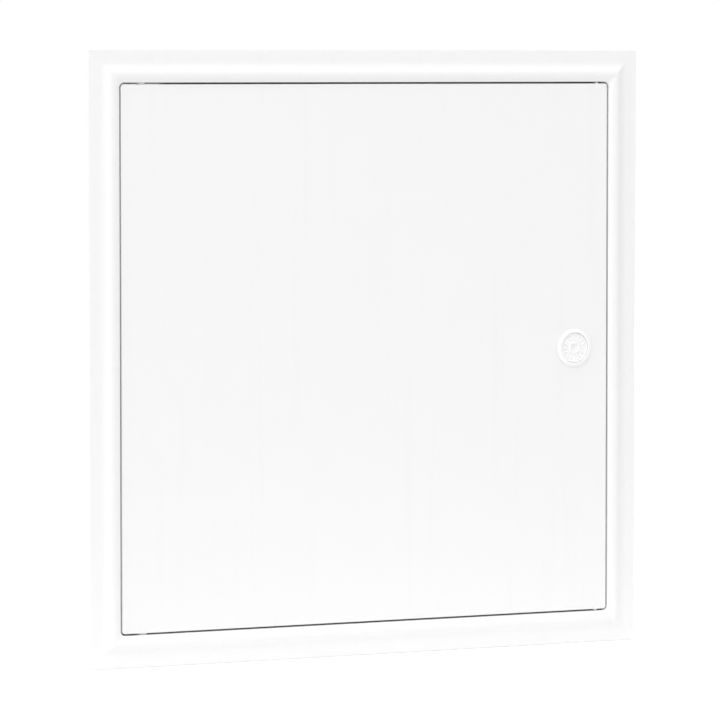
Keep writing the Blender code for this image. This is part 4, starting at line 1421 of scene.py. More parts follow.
    def pads(self) -> list[bpy.types.Mesh]:
        """Round pads: outside the walls at the pins, inside them at the fixing holes.

        Returns:
            The pads.
        """
        at = self.layout
        middle, out, soft = at.aperture + self.upstand_wall / 2, at.pin.high.z, 0.5 * MM
        made = []
        for up in (1, -1):
            made.append(at.on_pivot(stub(self.pin_pad_radius, middle, out, soft), up))
        top = at.aperture - self.fixing_pad_thickness
        for place in self.fixings():
            pad = stub(self.fixing_pad_radius, middle, top, soft)
            pad.transform(place)
            made.append(pad)
        return made

    def lips(self) -> list[bpy.types.Mesh]:
        """Low lips in the gap above and below the pivots, where no ledge keeps the light out.

        Returns:
            The upper and the lower one.
        """
        at = self.layout
        start, end = -at.aperture - self.upstand_wall / 2, self.ledge_x + self.lip_lap
        wall, top, soft = at.aperture + self.upstand_wall / 2, at.aperture - self.lip_height, 0.3 * MM
        outline = rounded([
            (self.lip_y, wall, 0), (self.lip_y, top, soft), (self.lip_y + self.lip_width, top, soft),
            (self.lip_y + self.lip_width, wall, 0),
        ])
        return [bar([(y, up * z) for y, z in outline], start, end - start) for up in (1, -1)]

    def holes(self) -> bpy.types.Mesh:
        """Pin holes with a recess for each head, and countersunk fixing holes.

        Returns:
            All of them in one mesh, to cut out.
        """
        at = self.layout
        out, beyond = at.pin.high.z, at.wall
        recess, recess_end = at.pin.half.x + SEAT, out - self.pin_head_thickness - SEAT
        made = []
        for up in (1, -1):
            profile = [(0, out + beyond), (recess, out + beyond), (recess, recess_end),
                       (at.pin_radius + SEAT, recess_end), (at.pin_radius + SEAT, at.door_half),
                       (0, at.door_half)]
            made.append(at.on_pivot(lathe(profile, SMALL_ROUND), up))
        inside, wall_half = at.aperture - self.fixing_pad_thickness, at.aperture + self.upstand_wall
        sink_end = inside + self.fixing_head_radius - self.fixing_radius
        for place in self.fixings():
            hole = lathe([(0, wall_half + beyond), (self.fixing_radius, wall_half + beyond),
                          (self.fixing_radius, sink_end), (self.fixing_head_radius, inside),
                          (self.fixing_head_radius, inside - beyond), (0, inside - beyond)], SMALL_ROUND)
            hole.transform(place)
            made.append(hole)
        return together(made)

    def seal(self) -> None:
        """The foam strip on the front of the ledge, open towards the pivots like the ledge."""
        box = self.layout.seal
        outline = open_left(box.low.x, box.high.x, self.ledge_in + self.seal_back, soft=2 * MM, end=0.0)
        mesh = plate(outline, box.low.y, box.high.y, 0.5 * MM)
        finish_piece(mesh, "foam_strip", Body.FRAME, FOAM, ["door_seal"])

    def pin(self, name: str, up: int) -> None:
        """A headed pivot pin, pushed in from outside the frame.

        Args:
            name: Name of the piece.
            up: 1 for the upper one, -1 for the lower one.
        """
        at = self.layout
        out, end, head = at.pin.high.z, at.pin.low.z, at.pin.half.x
        profile = rounded([
            (0, out, 0), (head, out, 0.5 * MM), (head, out - self.pin_head_thickness, 0.15 * MM),
            (at.pin_radius, out - self.pin_head_thickness, 0.1 * MM),
            (at.pin_radius, end, 0.6 * MM), (0, end, 0),
        ], closed=False)
        mesh = at.on_pivot(lathe(profile, SMALL_ROUND), up)
        node = "hinge_pin_top" if up > 0 else "hinge_pin_bottom"
        finish_piece(mesh, name, Body.FRAME, ZINC, [node])


@dataclass
class Door:
    """The door: moulded tray, insulation, liner, screws and bushes."""

    layout: Layout
    tools: Tools
    edge: float = 0.6 * MM
    brace_thickness: float = 1.8 * MM
    brace_width: float = 8 * MM
    brace_length: float = 14 * MM
    brace_pitch: float = 60 * MM
    centring_in: float = 11.2 * MM
    centring_width: float = 2.5 * MM
    centring_length: float = 14 * MM
    post_radius: float = 4 * MM
    post_draft: float = 0.5 * MM
    post_foot: float = 0.8 * MM          # size of the slope round the foot
    screw_radius: float = 1.5 * MM
    screw_length: float = 12 * MM
    screw_spare: float = 2 * MM          # of the hole under the screw's tip
    screw_head: float = 2 * MM           # its height
    screw_pitch: float = 1.35 * MM
    block_half: float = 7 * MM
    block_length: float = 8 * MM
    bush_wall: float = 1.4 * MM
    boss_thickness: float = 3 * MM
    boss_fin: float = 3.5 * MM
    boss_fin_height: float = 2.4 * MM
    boss_fins: int = 8
    key_width: float = 3 * MM
    key_height: float = 1.2 * MM
    liner_wall: float = 1.2 * MM
    hub_hole: float = 10.3 * MM          # in the liner, round the lock's hub
    field_in: float = 20 * MM
    field_height: float = 1.5 * MM
    pass_through: float = 1.2 * MM

    def build(self) -> None:
        """Builds the door's pieces."""
        self.tray()
        self.slab()
        self.liner()
        self.screws()
        for name, up in (("pivot_bush_upper", 1), ("pivot_bush_lower", -1)):
            self.bush(name, up)

    @property
    def corner(self) -> float:
        """Radius of the door's corners."""
        return self.layout.aperture_round - self.layout.gap

    @property
    def post_end(self) -> float:
        """Tops of the posts."""
        return self.layout.slab.high.y

    def section(self) -> list[tuple[float, ...]]:
        """The tray's section as (half size, y, corner radius) points, from its face to its inside.

        Returns:
            The points.
        """
        at = self.layout
        inside = 0.8 * MM
        return rounded([
            (at.door_half - self.corner, at.face_y, 0, 0),
            (at.door_half, at.face_y, self.corner, self.edge),
            (at.door_half, at.flange_y, self.corner, 0.4 * MM),
            (at.door_in, at.flange_y, inside, 0.4 * MM),
            (at.door_in, at.skin_y, inside, 0.7 * MM),
            (at.door_in - inside, at.skin_y, 0, 0),
        ], closed=False)

    def tray(self) -> None:
        """The tray with its braces, blocks, ribs, posts and boss."""
        white = WHITE.make()
        section = chain(self.section(), closed=False)
        shell = self.tools.sweep.grow(section, white, corner_steps=10, support=SUPPORT)
        boss = Draft(self.boss()).join(self.boss_fins_mesh(white)).mesh()
        draft = Draft(shell).join(
            self.braces(white), *self.blocks(), *self.centring(), self.posts(white), boss
        ).cut(self.holes(white))
        finish_piece(draft.mesh(), "door_tray", Body.DOOR, WHITE, ["door_skin"])

    def braces(self, white: bpy.types.Material) -> bpy.types.Mesh:
        """Gussets between the face and the flange, clear of the pivots and of the lock.

        Args:
            white: The moulding's material.

        Returns:
            All of them in one mesh.
        """
        at = self.layout
        sunk, end = at.skin_y - at.wall / 2, at.skin_y + self.brace_length
        outline = [
            (at.wall / 2, sunk), (at.wall / 2, end), (-self.brace_thickness / 2, end),
            (-self.brace_width, at.skin_y), (-self.brace_width, sunk),
        ]
        brace = rib(outline, 0, self.brace_thickness, 0.2 * MM)
        span = at.door_in - self.brace_width
        return self.tools.rows.grow(
            brace, white, count=spots(span, self.brace_pitch), span=span, reach=at.door_in, least_x=-1.0,
            bare_middle=at.washer.half.x, bare_x=at.pivot.x, bare_half=self.block_half + self.brace_thickness,
        )

    def blocks(self) -> list[bpy.types.Mesh]:
        """Bearing blocks behind the upper and lower flange.

        Returns:
            The upper and the lower one.
        """
        at = self.layout
        left, right = at.pivot.x - self.block_half, at.pivot.x + self.block_half
        top = at.pivot.y + self.block_half
        outline = rounded([
            (left, at.skin_y - at.wall / 2, 0), (right, at.skin_y - at.wall / 2, 0),
            (right, top, 2 * MM), (left, top, 2 * MM),
        ])
        length = self.block_length + at.wall / 2
        return [rib(outline, up * (at.door_in - self.block_length), up * length) for up in (1, -1)]

    def centring(self) -> list[bpy.types.Mesh]:
        """Ribs on the upper and lower flange that centre the door as it shuts.

        Returns:
            The upper and the lower one.
        """
        at = self.layout
        front, top = at.face_y + 2 * self.edge, at.door.high.z
        sunk, end = at.door_half - at.wall / 2, at.face_y + 2 * self.edge + self.centring_length
        x = at.door_half - self.centring_in - self.centring_width / 2
        outline = rounded([
            (front, sunk, 0), (front, top, 0.5 * MM), (end - 4 * MM, top, 2 * MM),
            (end, at.door_half, 0), (end, sunk, 0),
        ])
        return [
            bar([(y, up * z) for y, z in outline], x, self.centring_width, 0.3 * MM) for up in (1, -1)
        ]

    def on_posts(self, shape: bpy.types.Mesh, material: bpy.types.Material) -> bpy.types.Mesh:
        """Stands a shape where each of the posts is.

        Args:
            shape: A shape about Y.
            material: What its faces get.

        Returns:
            All ten in one mesh.
        """
        return self.tools.posts.grow(
            shape, material, spread=self.layout.post_spread, most_turn=0.0, seed=0
        )

    def posts(self, white: bpy.types.Material) -> bpy.types.Mesh:
        """The posts that the liner screws go in, with draft and a slope round the foot.

        Args:
            white: The moulding's material.

        Returns:
            All of them in one mesh.
        """
        at = self.layout
        foot, top, sunk = self.post_radius + self.post_draft, self.post_radius, at.skin_y - at.wall / 2
        profile = rounded([
            (0, sunk, 0), (foot + self.post_foot, sunk, 0), (foot + self.post_foot, at.skin_y + 0.05 * MM, 0),
            (foot, at.skin_y + self.post_foot, 0), (top, self.post_end, 0.3 * MM), (0, self.post_end, 0),
        ], closed=False)
        return self.on_posts(lathe(profile, SMALL_ROUND), white)

    def boss(self) -> bpy.types.Mesh:
        """The boss on the back of the face that the lock clamps on.

        Returns:
            The boss without its fins.
        """
        at = self.layout
        radius, top = at.washer.half.x, at.skin_y + self.boss_thickness
        return at.at_lock(stub(radius, at.skin_y - at.wall / 2, top, 0.4 * MM, ROUND))

    def boss_fins_mesh(self, white: bpy.types.Material) -> bpy.types.Mesh:
        """Fins round the boss.

        Args:
            white: The moulding's material.

        Returns:
            All of them in one mesh.
        """
        at = self.layout
        radius, sunk, top = at.washer.half.x, at.skin_y - at.wall / 2, at.skin_y + self.boss_fin_height
        outline = [
            (radius - at.wall, sunk), (radius + self.boss_fin, sunk),
            (radius + self.boss_fin, at.skin_y + SEAT), (radius - self.edge, top), (radius - at.wall, top),
        ]
        fin = rib(outline, -self.brace_thickness / 2, self.brace_thickness, 0.2 * MM)
        return self.tools.around.grow(
            fin, white, count=self.boss_fins, phase=math.pi / self.boss_fins, centre_x=at.lock_x
        )

    def holes(self, white: bpy.types.Material) -> bpy.types.Mesh:
        """Screw holes, bush holes and the keyed hole for the lock.

        Args:
            white: The moulding's material.

        Returns:
            All of them in one mesh, to cut out.
        """
        at = self.layout
        tip = self.post_end + at.wall - self.screw_length - self.screw_spare
        bore = rod(self.screw_radius + SEAT, tip, self.post_end + at.wall)
        made = [self.on_posts(bore, white)]
        outside, inside = at.door_half + at.wall, at.door_in - self.block_length - at.wall
        radius = self.pin_bore + self.bush_wall + SEAT
        for up in (1, -1):
            made.append(at.on_pivot(rod(radius, inside, outside), up))
        low, high = at.face_y - at.wall, at.skin_y + self.boss_thickness + at.wall
        return together([*made, plate(self.keyed_outline(), low, high)])

    @property
    def pin_bore(self) -> float:
        """Radius of the bushes' bore."""
        return self.layout.pin_radius + RUN

    def keyed_outline(self) -> list[Point]:
        """The lock's hole: a circle with a notch below.

        Returns:
            The outline, in its place.
        """
        hole, half = self.layout.cup_radius + SEAT, self.key_width / 2 + SEAT
        lean = math.asin(half / hole)
        circle = arc((self.layout.lock_x, 0), hole, lean - QUARTER, 3 * QUARTER - lean, ROUND)
        low = -hole - self.key_height
        return circle + [(self.layout.lock_x - half, low), (self.layout.lock_x + half, low)]

    def slab(self) -> None:
        """The insulation, with its arrises softened by the mould."""
        box = self.layout.slab
        half, soft, corner = box.high.x, 1.5 * MM, 3 * MM
        section = rounded([
            (half - corner, box.low.y, 0, 0), (half, box.low.y, corner, soft),
            (half, box.high.y, corner, soft), (half - corner, box.high.y, 0, 0),
        ], closed=False)
        beads = BEADS.make()
        shell = self.tools.sweep.grow(chain(section, closed=False), beads, corner_steps=8, support=SUPPORT)
        low, high = box.low.y - self.layout.wall, box.high.y + self.layout.wall
        bore = rod(self.post_radius + self.post_draft + self.pass_through, low, high)
        holes = self.on_posts(bore, beads)
        radius = self.layout.washer.half.x + self.boss_fin + self.pass_through
        lock_hole = self.layout.at_lock(rod(radius, low, high, ROUND))
        draft = Draft(shell).cut(together([holes, lock_hole]))
        finish_piece(draft.mesh(), "bead_slab", Body.DOOR, BEADS, ["insulation_slab"])

    def liner(self) -> None:
        """The formed sheet over the slab: raised field, border and a rim that laps the slab."""
        at = self.layout
        outer, back, wall = at.liner.high.x, at.liner.high.y - self.field_height, self.liner_wall
        inner, front, lip = outer - wall, back - wall, at.liner.low.y
        field_half, rise, soft = at.post_spread - self.field_in, self.field_height, 2 * MM
        slope, step, flat = 1.6 * rise, 0.3 * MM, 8 * MM
        corner, inside, field_round = 3 * MM, 1.8 * MM, 12 * MM
        section = rounded([
            (field_half - field_round - 2 * rise, back + rise, 0, 0),
            (field_half - slope, back + rise, field_round, soft),
            (field_half, back, field_round + slope, soft),
            (field_half + flat, back, 2 * MM, 0),
            (outer, back, corner, 2.1 * MM),
            (outer, lip, corner, 0.3 * MM),
            (inner, lip, inside, 0.3 * MM),
            (inner, front, inside, 0.9 * MM),
            (field_half + flat, front, 2 * MM, 0),
            (field_half - step, front, field_round + slope, soft),
            (field_half - slope - step, front + rise, field_round, soft),
            (field_half - field_round - 2 * rise, front + rise, 0, 0),
        ], closed=False)
        sheet = SHEET.make()
        shell = self.tools.sweep.grow(chain(section, closed=False), sheet, corner_steps=10, support=SUPPORT)
        low, high = front - at.wall, back + 2 * at.wall
        bore = rod(self.screw_radius + SEAT, low, high)
        holes = self.on_posts(bore, sheet)
        hub_hole = at.at_lock(rod(self.hub_hole, low, high, ROUND))
        draft = Draft(shell).cut(together([holes, hub_hole]))
        finish_piece(draft.mesh(), "formed_liner", Body.DOOR, SHEET, ["door_liner"])

    def screws(self) -> None:
        """The ten pan-head screws, each stopped at its own angle."""
        at = self.layout
        screw = pan_screw(
            self.screw_radius, at.screw.half.x, self.screw_head, self.screw_length, self.screw_pitch
        )
        screw.transform(Matrix.Translation((0, at.screw.high.y, 0)))
        mesh = self.tools.posts.grow(
            screw, ZINC.make(), spread=at.post_spread, most_turn=2 * QUARTER, seed=7
        )
        nodes = [f"liner_screw_{i}" for i in range(1, 11)]
        finish_piece(mesh, "liner_screws", Body.DOOR, ZINC, nodes)

    def bush(self, name: str, up: int) -> None:
        """A flanged bush, whose collar runs in the gap.

        Args:
            name: Name of the piece.
            up: 1 for the upper one, -1 for the lower one.
        """
        at = self.layout
        bore, barrel = self.pin_bore, self.pin_bore + self.bush_wall
        node = "hinge_bush_top" if up > 0 else "hinge_bush_bottom"
        box, soft = Box.of("hinge_bush_top"), 0.15 * MM
        profile = rounded([
            (bore, box.high.z, 0.2 * MM), (box.half.x, box.high.z, soft),
            (box.half.x, at.door_half + SEAT, soft), (barrel, at.door_half + SEAT, 0.1 * MM),
            (barrel, box.low.z, 0.3 * MM), (bore, box.low.z, soft),
        ])
        mesh = at.on_pivot(lathe(profile, SMALL_ROUND), up)
        finish_piece(mesh, name, Body.DOOR, ACETAL, [node])


def pan_screw(radius: float, head: float, height: float, length: float, pitch: float) -> bpy.types.Mesh:
    """A pan-head screw with a cross recess, its head's top at y = 0 and its tip along -Y.

    Args:
        radius: Crest of the thread.
        head: Radius of the head.
        height: Height of the head.
        length: Under the head to the tip.
        pitch: Of the thread.

    Returns:
        The mesh.
    """
    under, tip = -height, -height - length
    thread = Thread(radius, tip + radius, under - 0.5 * MM, pitch, radius * 0.25)
    profile: list[Point] = [(0, tip), (radius * 0.3, tip), *thread.stations(), (radius, under)]
    profile += rounded([
        (head, under, 0.2 * MM), (head, -height * 0.35, height * 0.5), (head * 0.45, 0, head), (0, 0, 0),
    ], closed=False)
    draft = Draft(lathe(profile, SCREW_ROUND, thread))
    arm, width, depth = head * 0.52, head * 0.15, height * 0.62
    foot = arm * 0.45
    for turn in (0, QUARTER):
        slot = rib([(-arm, MM), (arm, MM), (foot, -depth), (-foot, -depth)], -width, 2 * width)
        slot.transform(Matrix.Rotation(turn, 4, "Y"))
        draft.cut(slot)
    return draft.mesh()


@dataclass
class Lock:
    """The quarter-turn lock: housing and nut on the door, dial and cam on the latch."""

    layout: Layout
    tools: Tools
    cup_wall: float = 1.6 * MM
    bezel_height: float = 0.9 * MM
    rim_width: float = 1.7 * MM
    rim_foot: float = 1.2 * MM
    floor_in: float = 3.1 * MM
    floor_thickness: float = 2.5 * MM
    hub_radius: float = 10.007 * MM
    spindle_radius: float = 7.007 * MM
    cup_end: float = 11 * MM
    key_width: float = 3 * MM
    key_height: float = 1.2 * MM
    key_length: float = 3 * MM           # past the back of the door's face
    stop_width: float = 2.2 * MM
    stop_depth: float = 2 * MM
    stop_at: float = math.radians(225)
    notch_radius: float = 3 * MM
    notch_sides: int = 28
    notches: int = 8
    dial_sunk: float = 1.1 * MM
    dial_rim: float = 1.1 * MM
    head_radius: float = 6.157 * MM
    grips: int = 16
    grip_width: float = 1.6 * MM
    grip_short: float = 1.3 * MM         # from a grip's ends to the head and to the rim
    socket: float = 8 * MM
    socket_depth: float = 1.8 * MM      # the photograph shows it as light as the dial, so it is drawn shallow
    square: float = 8 * MM
    ring_radius: float = 0.75 * MM
    ring_in: float = 16 * MM
    cam_tip_radius: float = 7 * MM
    cam_screw_radius: float = 2 * MM
    cam_screw_head: float = 2.5 * MM     # its height
    cam_screw_length: float = 12 * MM
    cam_screw_pitch: float = 1.6 * MM
    cam_screw_turn: float = 0.4          # where it happened to stop
    thread_from: float = 3.5 * MM        # past the back of the door's face
    thread_pitch: float = 2 * MM
    thread_depth: float = 0.5 * MM

    def build(self) -> None:
        """Builds the lock's pieces."""
        self.housing()
        self.washer()
        self.nut()
        self.dial()
        self.ring()
        self.cam()
        self.cam_washer()
        self.cam_screw()

    @property
    def cup_in(self) -> float:
        """Bore of the cup."""
        return self.layout.cup_radius - self.cup_wall

    @property
    def hub_y(self) -> float:
        """End of the hub."""
        return self.layout.cam.low.y - SEAT

    @property
    def floor_y(self) -> float:
        """Floor of the cup."""
        return self.layout.face_y + self.floor_in

    @property
    def neck(self) -> float:
        """Radius of the spindle in the ring's groove."""
        return self.spindle_radius + RUN - 2 * self.ring_radius - 2 * SEAT

    def housing(self) -> None:
        """Flange with a raised rim, threaded cup, floor and hub, with webs, key and stop peg."""
        at = self.layout
        bore, crest, edge = self.spindle_radius + RUN, at.lock.low.y, at.face_y - self.bezel_height
        bezel, rim = at.lock.half.x, self.cup_in + self.rim_width
        back, seat = self.floor_y + self.floor_thickness, at.face_y - SEAT
        cup, start, end = at.cup_radius, at.skin_y + self.thread_from, self.cup_end - 0.4 * MM
        thread = Thread(cup, start, end, self.thread_pitch, self.thread_depth)
        profile = rounded([
            (self.cup_in, crest, 0.3 * MM), (rim, crest, 0.5 * MM), (rim + self.rim_foot, edge, 0.8 * MM),
            (bezel, edge, 0.5 * MM), (bezel, seat, 0.1 * MM), (cup, seat, 0),
            *((r, y, 0) for r, y in thread.stations()),
            (cup, self.cup_end, 0.3 * MM), (self.cup_in, self.cup_end, 0.3 * MM),
            (self.cup_in, back, 0.5 * MM), (self.hub_radius, back, 0.8 * MM),
            (self.hub_radius, self.hub_y, 0.3 * MM), (bore, self.hub_y, 0.3 * MM),
            (bore, self.floor_y, 0.2 * MM), (self.cup_in, self.floor_y, 0.4 * MM),
        ])
        draft = Draft(at.at_lock(lathe(profile, ROUND, thread)))
        half, low = self.cup_wall / 2, self.floor_y + self.floor_thickness / 2
        outline = oblong((self.hub_radius - half, low), (cup - half, self.cup_end - 2 * self.cup_wall))
        web = rib(outline, -half, 2 * half)
        webs = self.tools.around.grow(web, NYLON.make(), count=4, phase=QUARTER / 2, centre_x=at.lock_x)
        wide = self.key_width / 2
        outline = oblong((-wide, -cup - self.key_height), (wide, half - cup))
        key = plate(outline, at.face_y - self.bezel_height / 2, at.skin_y + self.key_length - SEAT)
        wide, soft = self.stop_width / 2, 0.2 * MM
        outline = oblong((self.hub_radius - self.stop_depth, -wide), (self.hub_radius, wide), soft)
        peg = plate(outline, self.hub_y - at.wall, at.cam.high.y, soft)
        draft.join(webs, at.at_lock(key), at.at_lock(peg, -self.stop_at))
        finish_piece(draft.mesh(), "lock_housing", Body.DOOR, NYLON, ["lock_body"])

    def washer(self) -> None:
        """The rubber ring between the nut and the boss."""
        box, soft = self.layout.washer, 0.2 * MM
        profile = oblong((self.layout.cup_radius + SEAT, box.low.y), (box.half.x, box.high.y), soft)
        mesh = self.layout.at_lock(lathe(profile, ROUND))
        finish_piece(mesh, "clamp_ring", Body.DOOR, RUBBER, ["lock_washer"])

    def nut(self) -> None:
        """The ring nut, with notches for fingers or a spanner."""
        box, edge = self.layout.nut, 0.6 * MM
        inner = self.layout.cup_radius + SEAT
        thread = Thread(inner, box.high.y - 0.4 * MM, box.low.y + 0.4 * MM, self.thread_pitch, -SEAT / 2)
        profile = rounded([
            (inner, box.low.y, 0.2 * MM), (box.half.x, box.low.y, edge), (box.half.x, box.high.y, edge),
            (inner, box.high.y, 0.2 * MM), *((r, y, 0) for r, y in thread.stations()),
        ])
        low, high, reach = box.low.y - MM, box.high.y + MM, box.half.x + self.notch_radius / 2
        notch = rod(self.notch_radius, low, high, self.notch_sides)
        notch.transform(Matrix.Translation((reach, 0, 0)))
        notches = self.tools.around.grow(
            notch, NYLON.make(), count=self.notches, phase=math.pi / self.notches, centre_x=self.layout.lock_x
        )
        draft = Draft(self.layout.at_lock(lathe(profile, ROUND, thread))).cut(notches)
        finish_piece(draft.mesh(), "ring_nut", Body.DOOR, NYLON, ["lock_nut"])

    def dial(self) -> None:
        """The ribbed dial with its square socket, grooved spindle and square end."""
        at = self.layout
        top, back = at.dial.low.y, self.floor_y - SEAT
        sunk, radius = top + self.dial_sunk, at.dial.half.x
        groove, ring_y = self.ring_radius + SEAT, at.face_y + self.ring_in
        profile = rounded([
            (0, top, 0), (self.head_radius, top, 0.25 * MM), (self.head_radius + 0.4 * MM, sunk, 0.25 * MM),
            (radius - self.dial_rim - 0.4 * MM, sunk, 0.25 * MM), (radius - self.dial_rim, top, 0.25 * MM),
            (radius, top, 0.3 * MM), (radius, back, 0.3 * MM), (self.spindle_radius, back, 0.3 * MM),
            (self.spindle_radius, ring_y - groove, 0.1 * MM), (self.neck, ring_y - groove, 0.3 * MM),
            (self.neck, ring_y + groove, 0.3 * MM), (self.spindle_radius, ring_y + groove, 0.1 * MM),
            (self.spindle_radius, self.hub_y, 0.3 * MM), (0, self.hub_y, 0),
        ], closed=False)
        draft = Draft(at.at_lock(lathe(profile, ROUND)))
        inner, outer = self.head_radius + self.grip_short, radius - self.dial_rim - self.grip_short
        half = self.grip_width / 2
        grip = plate(oblong((inner, -half), (outer, half), half), top + RUN, sunk + MM, 0.2 * MM)
        grips = self.tools.around.grow(grip, NYLON.make(), count=self.grips, phase=0.0, centre_x=at.lock_x)
        end, hole, soft = self.square / 2, self.socket / 2, 0.4 * MM
        shank = plate(oblong((-end, -end), (end, end), soft), self.hub_y - at.wall, at.dial.high.y, 0.3 * MM)
        draft.join(grips, at.at_lock(shank))
        socket = plate(oblong((-hole, -hole), (hole, hole), soft), top - at.wall, top + self.socket_depth)
        screw_y = at.cam_washer.high.y + SEAT
        bore = rod(self.cam_screw_radius + SEAT, screw_y - self.cam_screw_length - MM, screw_y)
        draft.cut(at.at_lock(socket), at.at_lock(bore))
        finish_piece(draft.mesh(), "key_dial", Body.LATCH, NYLON, ["lock_dial"])

    def ring(self) -> None:
        """The rubber ring in the spindle's groove."""
        at = self.layout
        middle = (self.neck + SEAT + self.ring_radius, at.face_y + self.ring_in)
        section = arc(middle, self.ring_radius, 0, 4 * QUARTER, 16)[:-1]
        mesh = at.at_lock(lathe(section, ROUND))
        finish_piece(mesh, "spindle_ring", Body.LATCH, RUBBER, ["friction_ring"])

    def cam(self) -> None:
        """The flat cam with its quarter-turn relief, pressed from sheet."""
        at = self.layout
        eye_r, reach, tip_r = at.cam.half.x, at.cam.high.z, self.cam_tip_radius
        eye, tip = (at.lock_x, 0.0), (at.lock_x, reach - tip_r)
        lean = math.asin((eye_r - tip_r) / (reach - tip_r))
        relief = self.hub_radius - self.stop_depth - SEAT
        spare = math.asin((self.stop_width / 2 + SEAT) / relief)
        first, last = self.stop_at - spare, self.stop_at + QUARTER + spare
        outline = arc(tip, tip_r, lean, math.pi - lean, 40)
        outline += arc(eye, eye_r, math.pi - lean, first, 24)
        outline += arc(eye, relief, first, last, 30)
        outline += arc(eye, eye_r, last, 4 * QUARTER + lean, 24)
        draft = Draft(plate(outline, at.cam.low.y, at.cam.high.y, 0.35 * MM))
        half = self.square / 2 + SEAT
        hole = oblong((-half, -half), (half, half), 0.4 * MM)
        draft.cut(at.at_lock(plate(hole, at.cam.low.y - MM, at.cam.high.y + MM)))
        finish_piece(draft.mesh(), "cam_plate", Body.LATCH, ZINC, ["latch_cam"])

    def cam_washer(self) -> None:
        """The washer between the cam and its screw."""
        box, soft = self.layout.cam_washer, 0.2 * MM
        bore = self.cam_screw_radius + SEAT
        profile = rounded([
            (bore, box.low.y, 0.1 * MM), (box.half.x, box.low.y, soft),
            (box.half.x, box.high.y, soft), (bore, box.high.y, 0.1 * MM),
        ])
        mesh = self.layout.at_lock(lathe(profile, ROUND))
        finish_piece(mesh, "plain_washer", Body.LATCH, ZINC, ["cam_washer"])

    def cam_screw(self) -> None:
        """The screw that holds the cam on the spindle."""
        box = Box.of("cam_screw")
        screw = pan_screw(
            self.cam_screw_radius, box.half.x, self.cam_screw_head,
            self.cam_screw_length, self.cam_screw_pitch,
        )
        screw.transform(Matrix.Translation((0, box.high.y, 0)))
        mesh = self.layout.at_lock(screw, self.cam_screw_turn)
        finish_piece(mesh, "cam_fixing", Body.LATCH, ZINC, ["cam_screw"])


@dataclass(frozen=True)
class Lamp:
    """A broad round lamp, far enough off to light the whole panel evenly."""

    name: str
    azimuth: float
    height: float
    level: float                        # light on a surface that faces it, where 1 shows its own colour
    size: float = 5.0
    distance: float = 8.0

    def build(self) -> None:
        """Hangs the lamp and aims it at the middle of the panel."""
        lamp = bpy.data.lights.new(self.name, "AREA")
        lamp.shape = "DISK"
        lamp.size = self.size
        lamp.energy = self.level * math.pi ** 2 * self.distance ** 2
        made = new_object(self.name, lamp)
        across = math.cos(self.height)
        towards = Vector((
            math.sin(self.azimuth) * across, -math.cos(self.azimuth) * across, math.sin(self.height)
        ))
        made.location = towards * self.distance
        made.rotation_euler = towards.to_track_quat("Z", "Y").to_euler()


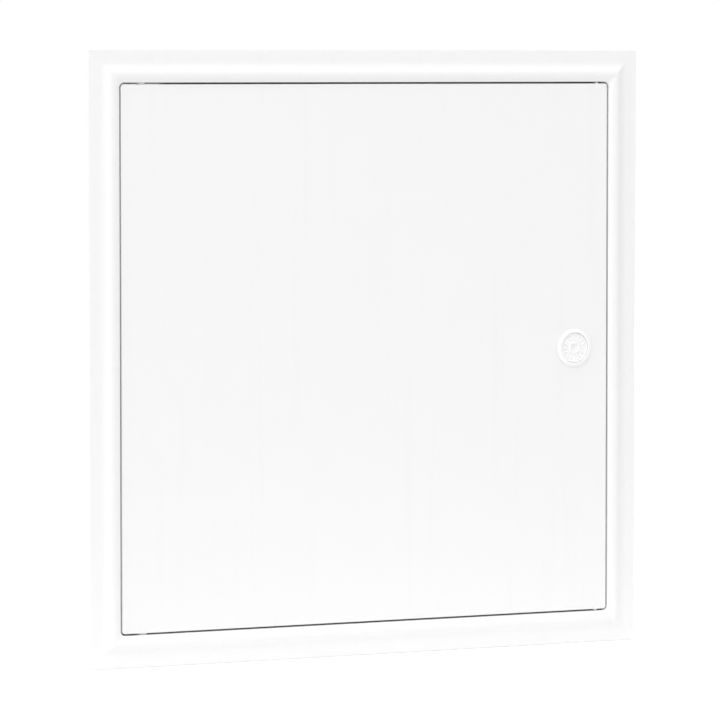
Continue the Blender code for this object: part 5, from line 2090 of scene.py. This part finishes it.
@dataclass(frozen=True)
class Studio:
    """Floor, world, lamps and the camera at the photograph's angle."""

    floor_size: float = 40.0
    floor_colour: str = "#E6E6E6"
    floor_glow: float = 0.62            # only what the camera and reflections see
    hair_gap: float = 0.4 * MM          # under the panel, where the photograph has a fine dark line
    ambient: float = 0.775
    lamps: tuple[Lamp, ...] = (
        Lamp("left_lamp", math.radians(-70), math.radians(20), 0.23),
        Lamp("top_lamp", math.radians(-10), math.radians(70), 0.32),
    )
    bounce_width: float = 1.4           # a strip of lit table in front of the panel
    bounce_depth: float = 0.2
    bounce_away: float = 4 * MM         # from the ceiling plane, so that it also lights the flat band
    bounce_up: float = 0.2 * MM
    bounce_level: float = 0.18
    lens: float = 248.2
    sight: float = 100.0                # how far the camera sees
    camera_place: tuple[float, float, float] = (-2.1802, -4.5087, 0.2937)
    camera_yaw: float = math.radians(25.714)
    camera_pitch: float = math.radians(3.435)

    def build(self, foot_z: float) -> None:
        """Sets the studio up.

        Args:
            foot_z: Height of the panel's lower edge.
        """
        floor_z = foot_z - self.hair_gap
        self.floor(floor_z)
        self.world()
        for lamp in self.lamps:
            lamp.build()
        self.bounce(floor_z)
        self.camera()
        bpy.context.scene.view_settings.view_transform = "Standard"
        log.info("studio: floor at %.4f m", floor_z)

    def floor(self, floor_z: float) -> None:
        """A pale floor that the camera sees as white apart from the shadow on it.

        Args:
            floor_z: Height of the floor.
        """
        bm = bmesh.new()
        bmesh.ops.create_grid(bm, x_segments=1, y_segments=1, size=self.floor_size / 2)
        bmesh.ops.translate(bm, verts=bm.verts, vec=(0, 0, floor_z))
        mesh = bpy.data.meshes.new("floor")
        bm.to_mesh(mesh)
        bm.free()
        made = bpy.data.materials.new("pale_floor")
        made.use_nodes = True
        graph = Graph(made.node_tree)
        shader = graph.tree.nodes["Principled BSDF"]
        graph.wire(shader, {
            "Base Color": linear(self.floor_colour), "Roughness": 0.9, "Specular IOR Level": 0.0,
        })
        glow = graph.add(MATH, "MULTIPLY", (self.seen(graph), self.floor_glow))
        light = graph.add("ShaderNodeEmission", {}, {"Color": (1, 1, 1, 1), "Strength": glow})
        both = graph.add("ShaderNodeAddShader", {}, (shader, light))
        graph.wire(graph.tree.nodes["Material Output"], {"Surface": both})
        mesh.materials.append(made)
        new_object("floor", mesh)

    def seen(self, graph: Graph) -> bpy.types.Node:
        """1 for rays from the camera and from reflections, 0 for the light that falls on things.

        Args:
            graph: The tree that asks.

        Returns:
            The node that answers.
        """
        path = graph.add("ShaderNodeLightPath").outputs
        mirrored = graph.add(MATH, "MAXIMUM", (path["Is Glossy Ray"], path["Is Transmission Ray"]))
        return graph.add(MATH, "MAXIMUM", (path["Is Camera Ray"], mirrored))

    def world(self) -> None:
        """A white background, and an even soft light on the object."""
        world = bpy.data.worlds.new("studio")
        world.use_nodes = True
        graph = Graph(world.node_tree)
        level = graph.add(RANGE, {}, {"Value": self.seen(graph), "To Min": self.ambient, "To Max": 1.0})
        graph.wire(graph.tree.nodes["Background"], {"Color": (1, 1, 1, 1), "Strength": level})
        bpy.context.scene.world = world

    def bounce(self, floor_z: float) -> None:
        """Light from the table at the panel's foot, which brightens its lower edge.

        Args:
            floor_z: Height of the floor.
        """
        lamp = bpy.data.lights.new("table_bounce", "AREA")
        lamp.shape = "RECTANGLE"
        lamp.size = self.bounce_width
        lamp.size_y = self.bounce_depth
        lamp.energy = self.bounce_level * math.pi * self.bounce_width * self.bounce_depth
        made = new_object("table_bounce", lamp)
        made.visible_camera = False
        made.location = (0, -self.bounce_away - self.bounce_depth / 2, floor_z + self.bounce_up)
        made.rotation_euler = (2 * QUARTER, 0, 0)

    def camera(self) -> None:
        """The camera where the photograph's vanishing lines put it."""
        data = bpy.data.cameras.new("camera")
        data.lens = self.lens
        data.clip_end = self.sight
        made = new_object("camera", data)
        made.location = self.camera_place
        made.rotation_euler = (QUARTER - self.camera_pitch, 0, -self.camera_yaw)
        bpy.context.scene.camera = made


def main() -> None:
    """Builds the panel's pieces and the studio."""
    logging.basicConfig(level=logging.INFO, format="%(message)s")
    layout, tools = Layout(), Tools()
    Studio().build(cad_box[0].z)
    Frame(layout, tools).build()
    Door(layout, tools).build()
    Lock(layout, tools).build()


if __name__ == "__main__":
    main()
